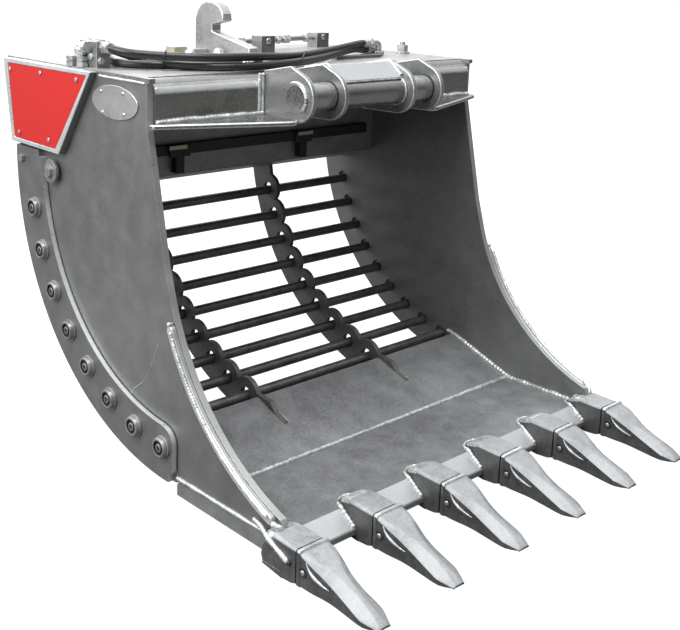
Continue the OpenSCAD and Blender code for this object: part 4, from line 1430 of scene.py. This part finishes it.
        # the screws' slots are dark bars: painted shadow
        (back, front), (low, high), (left, right) = self.slot
        slots = [
            bar((y + back, y + front), (z + low, z + high), (x + left, x + right))
            for x, y, z in self.block_screws
        ]
        w.group("screw_slots", slots, 20.0, PAINTED_SHADOW)
        rings = [turned(self.port_ring, spot, "z", 28, ring=True) for spot in self.ports]
        w.group("port_rings", rings, 35.0)
        w.group("block_side_screws", [turned(self.hex_head, *spot, 6) for spot in self.heads], 20.0)
        *stack, side_nut = [turned(self.nut, *spot, 6) for spot in self.adapter_nuts]
        cap = turned(self.cap_dome, self.adapter_cap, "z", 16)
        w.group("port_adapters", [*stack, cap, side_nut], 25.0)

    def _stood_for(self, c: Points, n: Points) -> Points:
        """True on the faces of the blocks that other pieces stand for."""
        boxes = np.array(self.gone, float)[:, None]
        return np.any(np.all((c[:, :2] > boxes[..., 0]) & (c[:, :2] < boxes[..., 1]), axis=-1), axis=0)

    def _ends(self) -> None:
        """Ferrules and hex nuts at the hoses' ends, elbows down into the deck, and the pipe behind."""
        routes = self._routes()
        parts = [turned(self.ferrule, route[0], "-y", 24) for route in routes]
        parts += [turned(self.ferrule, route[-1], "-x", 24) for route in routes]
        self.work.group("hose_ferrules", parts, 35.0)
        nuts = [turned(self.nut, route[0], "-y", 6) for route in routes]
        ends = [route[-1] for route in routes[:2]]
        nuts += [turned(self.nut, (x - self.nut_back, y, z), "x", 6) for x, y, z in ends]
        y, rise, z = self.pipe_line
        nuts += [turned(self.pipe_nut, (x, y + rise * x, z), "x", 6) for x in self.pipe_nuts]
        self.work.group("hex_nuts", nuts, 20.0)
        elbows = []
        for x, y, z in ends:
            foot = (x + self.elbow[-1][0], y, self.elbow_foot)
            bend = [(x + out, y, z + drop) for out, drop in self.elbow]
            elbows.append(tube(curve_through([*bend, foot], 6), self.elbow_radius, 18, (0, 1, 0)))
            elbows.append(turned(self.nut, foot, "z", 6))
        self.work.group("hose_elbows", elbows, 40.0)
        pipe = tube(curve_through(self.pipe, 8), self.pipe_radius, 16)
        self.work.piece("return_pipe", *pipe, PIN, "plain_steel", smooth=60.0)

    def _straps(self) -> None:
        """Cable ties round the two long hoses: a circle's radius beyond the line between them."""
        loops = []
        for one, two, along in self.ties:
            one, two = np.asarray(one, float), np.asarray(two, float)
            line = (two - one) / np.linalg.norm(two - one)
            across = np.cross(line, along)
            across /= np.linalg.norm(across)
            turn = np.linspace(0, 2 * math.pi, 33)[:, None]
            round_one = self.tie_reach * (np.cos(turn) * line + np.sin(turn) * across)
            path = np.where(np.cos(turn) > 0, two, one) + round_one
            loops.append(tube(path, self.tie_radius, 8, tuple(np.cross(line, across))))
        self.work.group("hose_ties", loops, 60.0, SEAL, "hose_rubber")


# Studio


@dataclass(frozen=True)
class Studio:
    """The photograph's camera, a pale floor and soft lights, in metres in the row frame."""

    place: Row3 = (-1.68389, -1.61088, 0.27247)
    ground: float = -0.813
    right: Row3 = (0.74142, -0.67046, 0.02777)
    up: Row3 = (0.12213, 0.17552, 0.97687)
    focal_px: float = 1061.97
    centre_px: Pair = (292.12, 194.05)
    frame_px: Pair = (680.0, 630.0)
    sensor_mm: float = 36.0
    clip: Pair = (0.05, 90.0)
    # the sky's strength: it rises from sky_start, as a power of how far a ray points along sky_side
    sky_side: Row3 = (-0.20, 0.44, 0.875)
    sky_start: float = -0.35
    sky_power: float = 1.6
    sky_range: Pair = (0.10, 2.6)
    sky_tint: Row3 = (0.97, 0.985, 1.0)
    floor_reach: float = 30.0
    floor_bounce: float = 0.16
    floor_glow: float = 1.0
    backdrop: float = 1.0
    # each lamp: name, place, what it faces, size, power
    lamps: tuple = (
        ("behind", (0.6, 3.0, 2.6), (0, 0, -0.3), 2.6, 60.0),
        ("above", (-0.9, -0.9, 3.0), (0, 0, -0.3), 1.1, 60.0),
        ("side", (-1.9, 0.25, 0.85), (-0.5, 0.2, -0.1), 0.9, 24.0),
    )

    def camera(self) -> None:
        """Puts the camera at the photograph's viewpoint, with its lens and its shift."""
        right, up = (np.asarray(v) / np.linalg.norm(v) for v in (self.right, self.up))
        back = np.cross(right, up)
        data = bpy.data.cameras.new("photo_camera")
        data.sensor_width = self.sensor_mm
        data.lens = self.focal_px / self.frame_px[0] * self.sensor_mm
        data.shift_x = (self.frame_px[0] / 2 - self.centre_px[0]) / self.frame_px[0]
        data.shift_y = (self.centre_px[1] - self.frame_px[1] / 2) / self.frame_px[0]
        data.clip_start, data.clip_end = self.clip
        bpy.context.scene.camera = self._placed("photo_camera", data, (right, up, back, self.place))

    @staticmethod
    def _placed(name: str, data: Any, columns: Sequence[Any]) -> bpy.types.Object:
        """A camera or lamp put in the scene.

        Args:
            name: its name.
            data: its data.
            columns: its own X, Y and Z directions and its place.

        Returns:
            The object.
        """
        obj = bpy.data.objects.new(name, data)
        turn = np.eye(4)
        turn[:3] = np.stack(columns, -1)
        obj.matrix_world = Matrix(turn.tolist())
        bpy.context.scene.collection.objects.link(obj)
        return obj

    def world(self) -> None:
        """A pale sky, brighter above and behind the object than on the camera's side, white to the camera."""
        world = bpy.data.worlds.new("studio")
        world.use_nodes = True
        tree = world.node_tree
        place = add_node(tree, "TexCoord").outputs["Generated"]
        toward = add_node(tree, "VectorMath", {0: place, 1: self.sky_side}, operation="DOT_PRODUCT")
        ramp = add_node(tree, "MapRange", {"Value": toward.outputs["Value"], "From Min": self.sky_start})
        curve = add_node(tree, "Math", {0: ramp.outputs[0], 1: self.sky_power}, operation="POWER")
        low, high = self.sky_range
        span = add_node(tree, "MapRange", {"Value": curve.outputs[0], "To Min": low, "To Max": high})
        sky = tree.nodes["Background"]
        set_inputs(sky, {"Strength": span.outputs[0], "Color": (*self.sky_tint, 1)})
        white = add_node(tree, "Background", {"Color": (1, 1, 1, 1), "Strength": self.backdrop})
        seen = add_node(tree, "LightPath").outputs["Is Camera Ray"]
        mix = add_node(tree, "MixShader", {0: seen, 1: sky.outputs[0], 2: white.outputs[0]})
        set_inputs(tree.nodes["World Output"], {"Surface": mix.outputs[0]})
        bpy.context.scene.world = world

    def lights(self) -> None:
        """Large soft lamps: one high behind, one above the front and one beside the left plate."""
        for name, place, aim, size, power in self.lamps:
            data = bpy.data.lights.new(name, "AREA")
            data.size, data.energy = size, power
            back = np.asarray(place, float) - np.asarray(aim, float)
            back /= np.linalg.norm(back)
            side = np.cross((0, 1, 0), back)
            side /= np.linalg.norm(side)
            self._placed(name, data, (side, np.cross(back, side), back, place))

    def floor(self) -> None:
        """A plain pale floor under the lowest tooth."""
        reach = self.floor_reach
        corners = [(x * reach, y * reach, self.ground) for x, y in ((-1, -1), (1, -1), (1, 1), (-1, 1))]
        mesh = bpy.data.meshes.new("floor")
        mesh.from_pydata(corners, [], [tuple(range(len(corners)))])
        obj = bpy.data.objects.new("floor", mesh)
        bpy.context.scene.collection.objects.link(obj)
        material, shader = new_material("pale_floor")
        seen = add_node(material.node_tree, "LightPath").outputs["Is Camera Ray"]
        glow = add_node(material.node_tree, "Math", {0: seen, 1: self.floor_glow}, operation="MULTIPLY")
        set_inputs(shader, {
            "Base Color": (self.floor_bounce,) * 3 + (1,), "Roughness": 1.0, "Specular IOR Level": 0.0,
            "Emission Color": (1, 1, 1, 1), "Emission Strength": glow.outputs[0],
        })
        mesh.materials.append(material)


def main() -> None:
    logging.basicConfig(level=logging.INFO, format="%(name)s: %(message)s")
    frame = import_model()
    studio = Studio()
    studio.camera()
    work = Workshop(frame, FinishShop())
    welds = WeldShop(work)
    Hydraulics(work).build()
    Shell(work, welds).build()
    Screen(work).build()
    Coupler(work, welds).build()
    Covers(work).build()
    Teeth(work, welds).build()
    studio.world()
    studio.lights()
    studio.floor()
    bpy.context.scene.view_settings.view_transform = "Standard"
    for name in work.made:
        LOG.info("made %s", name)


if __name__ == "__main__":
    main()
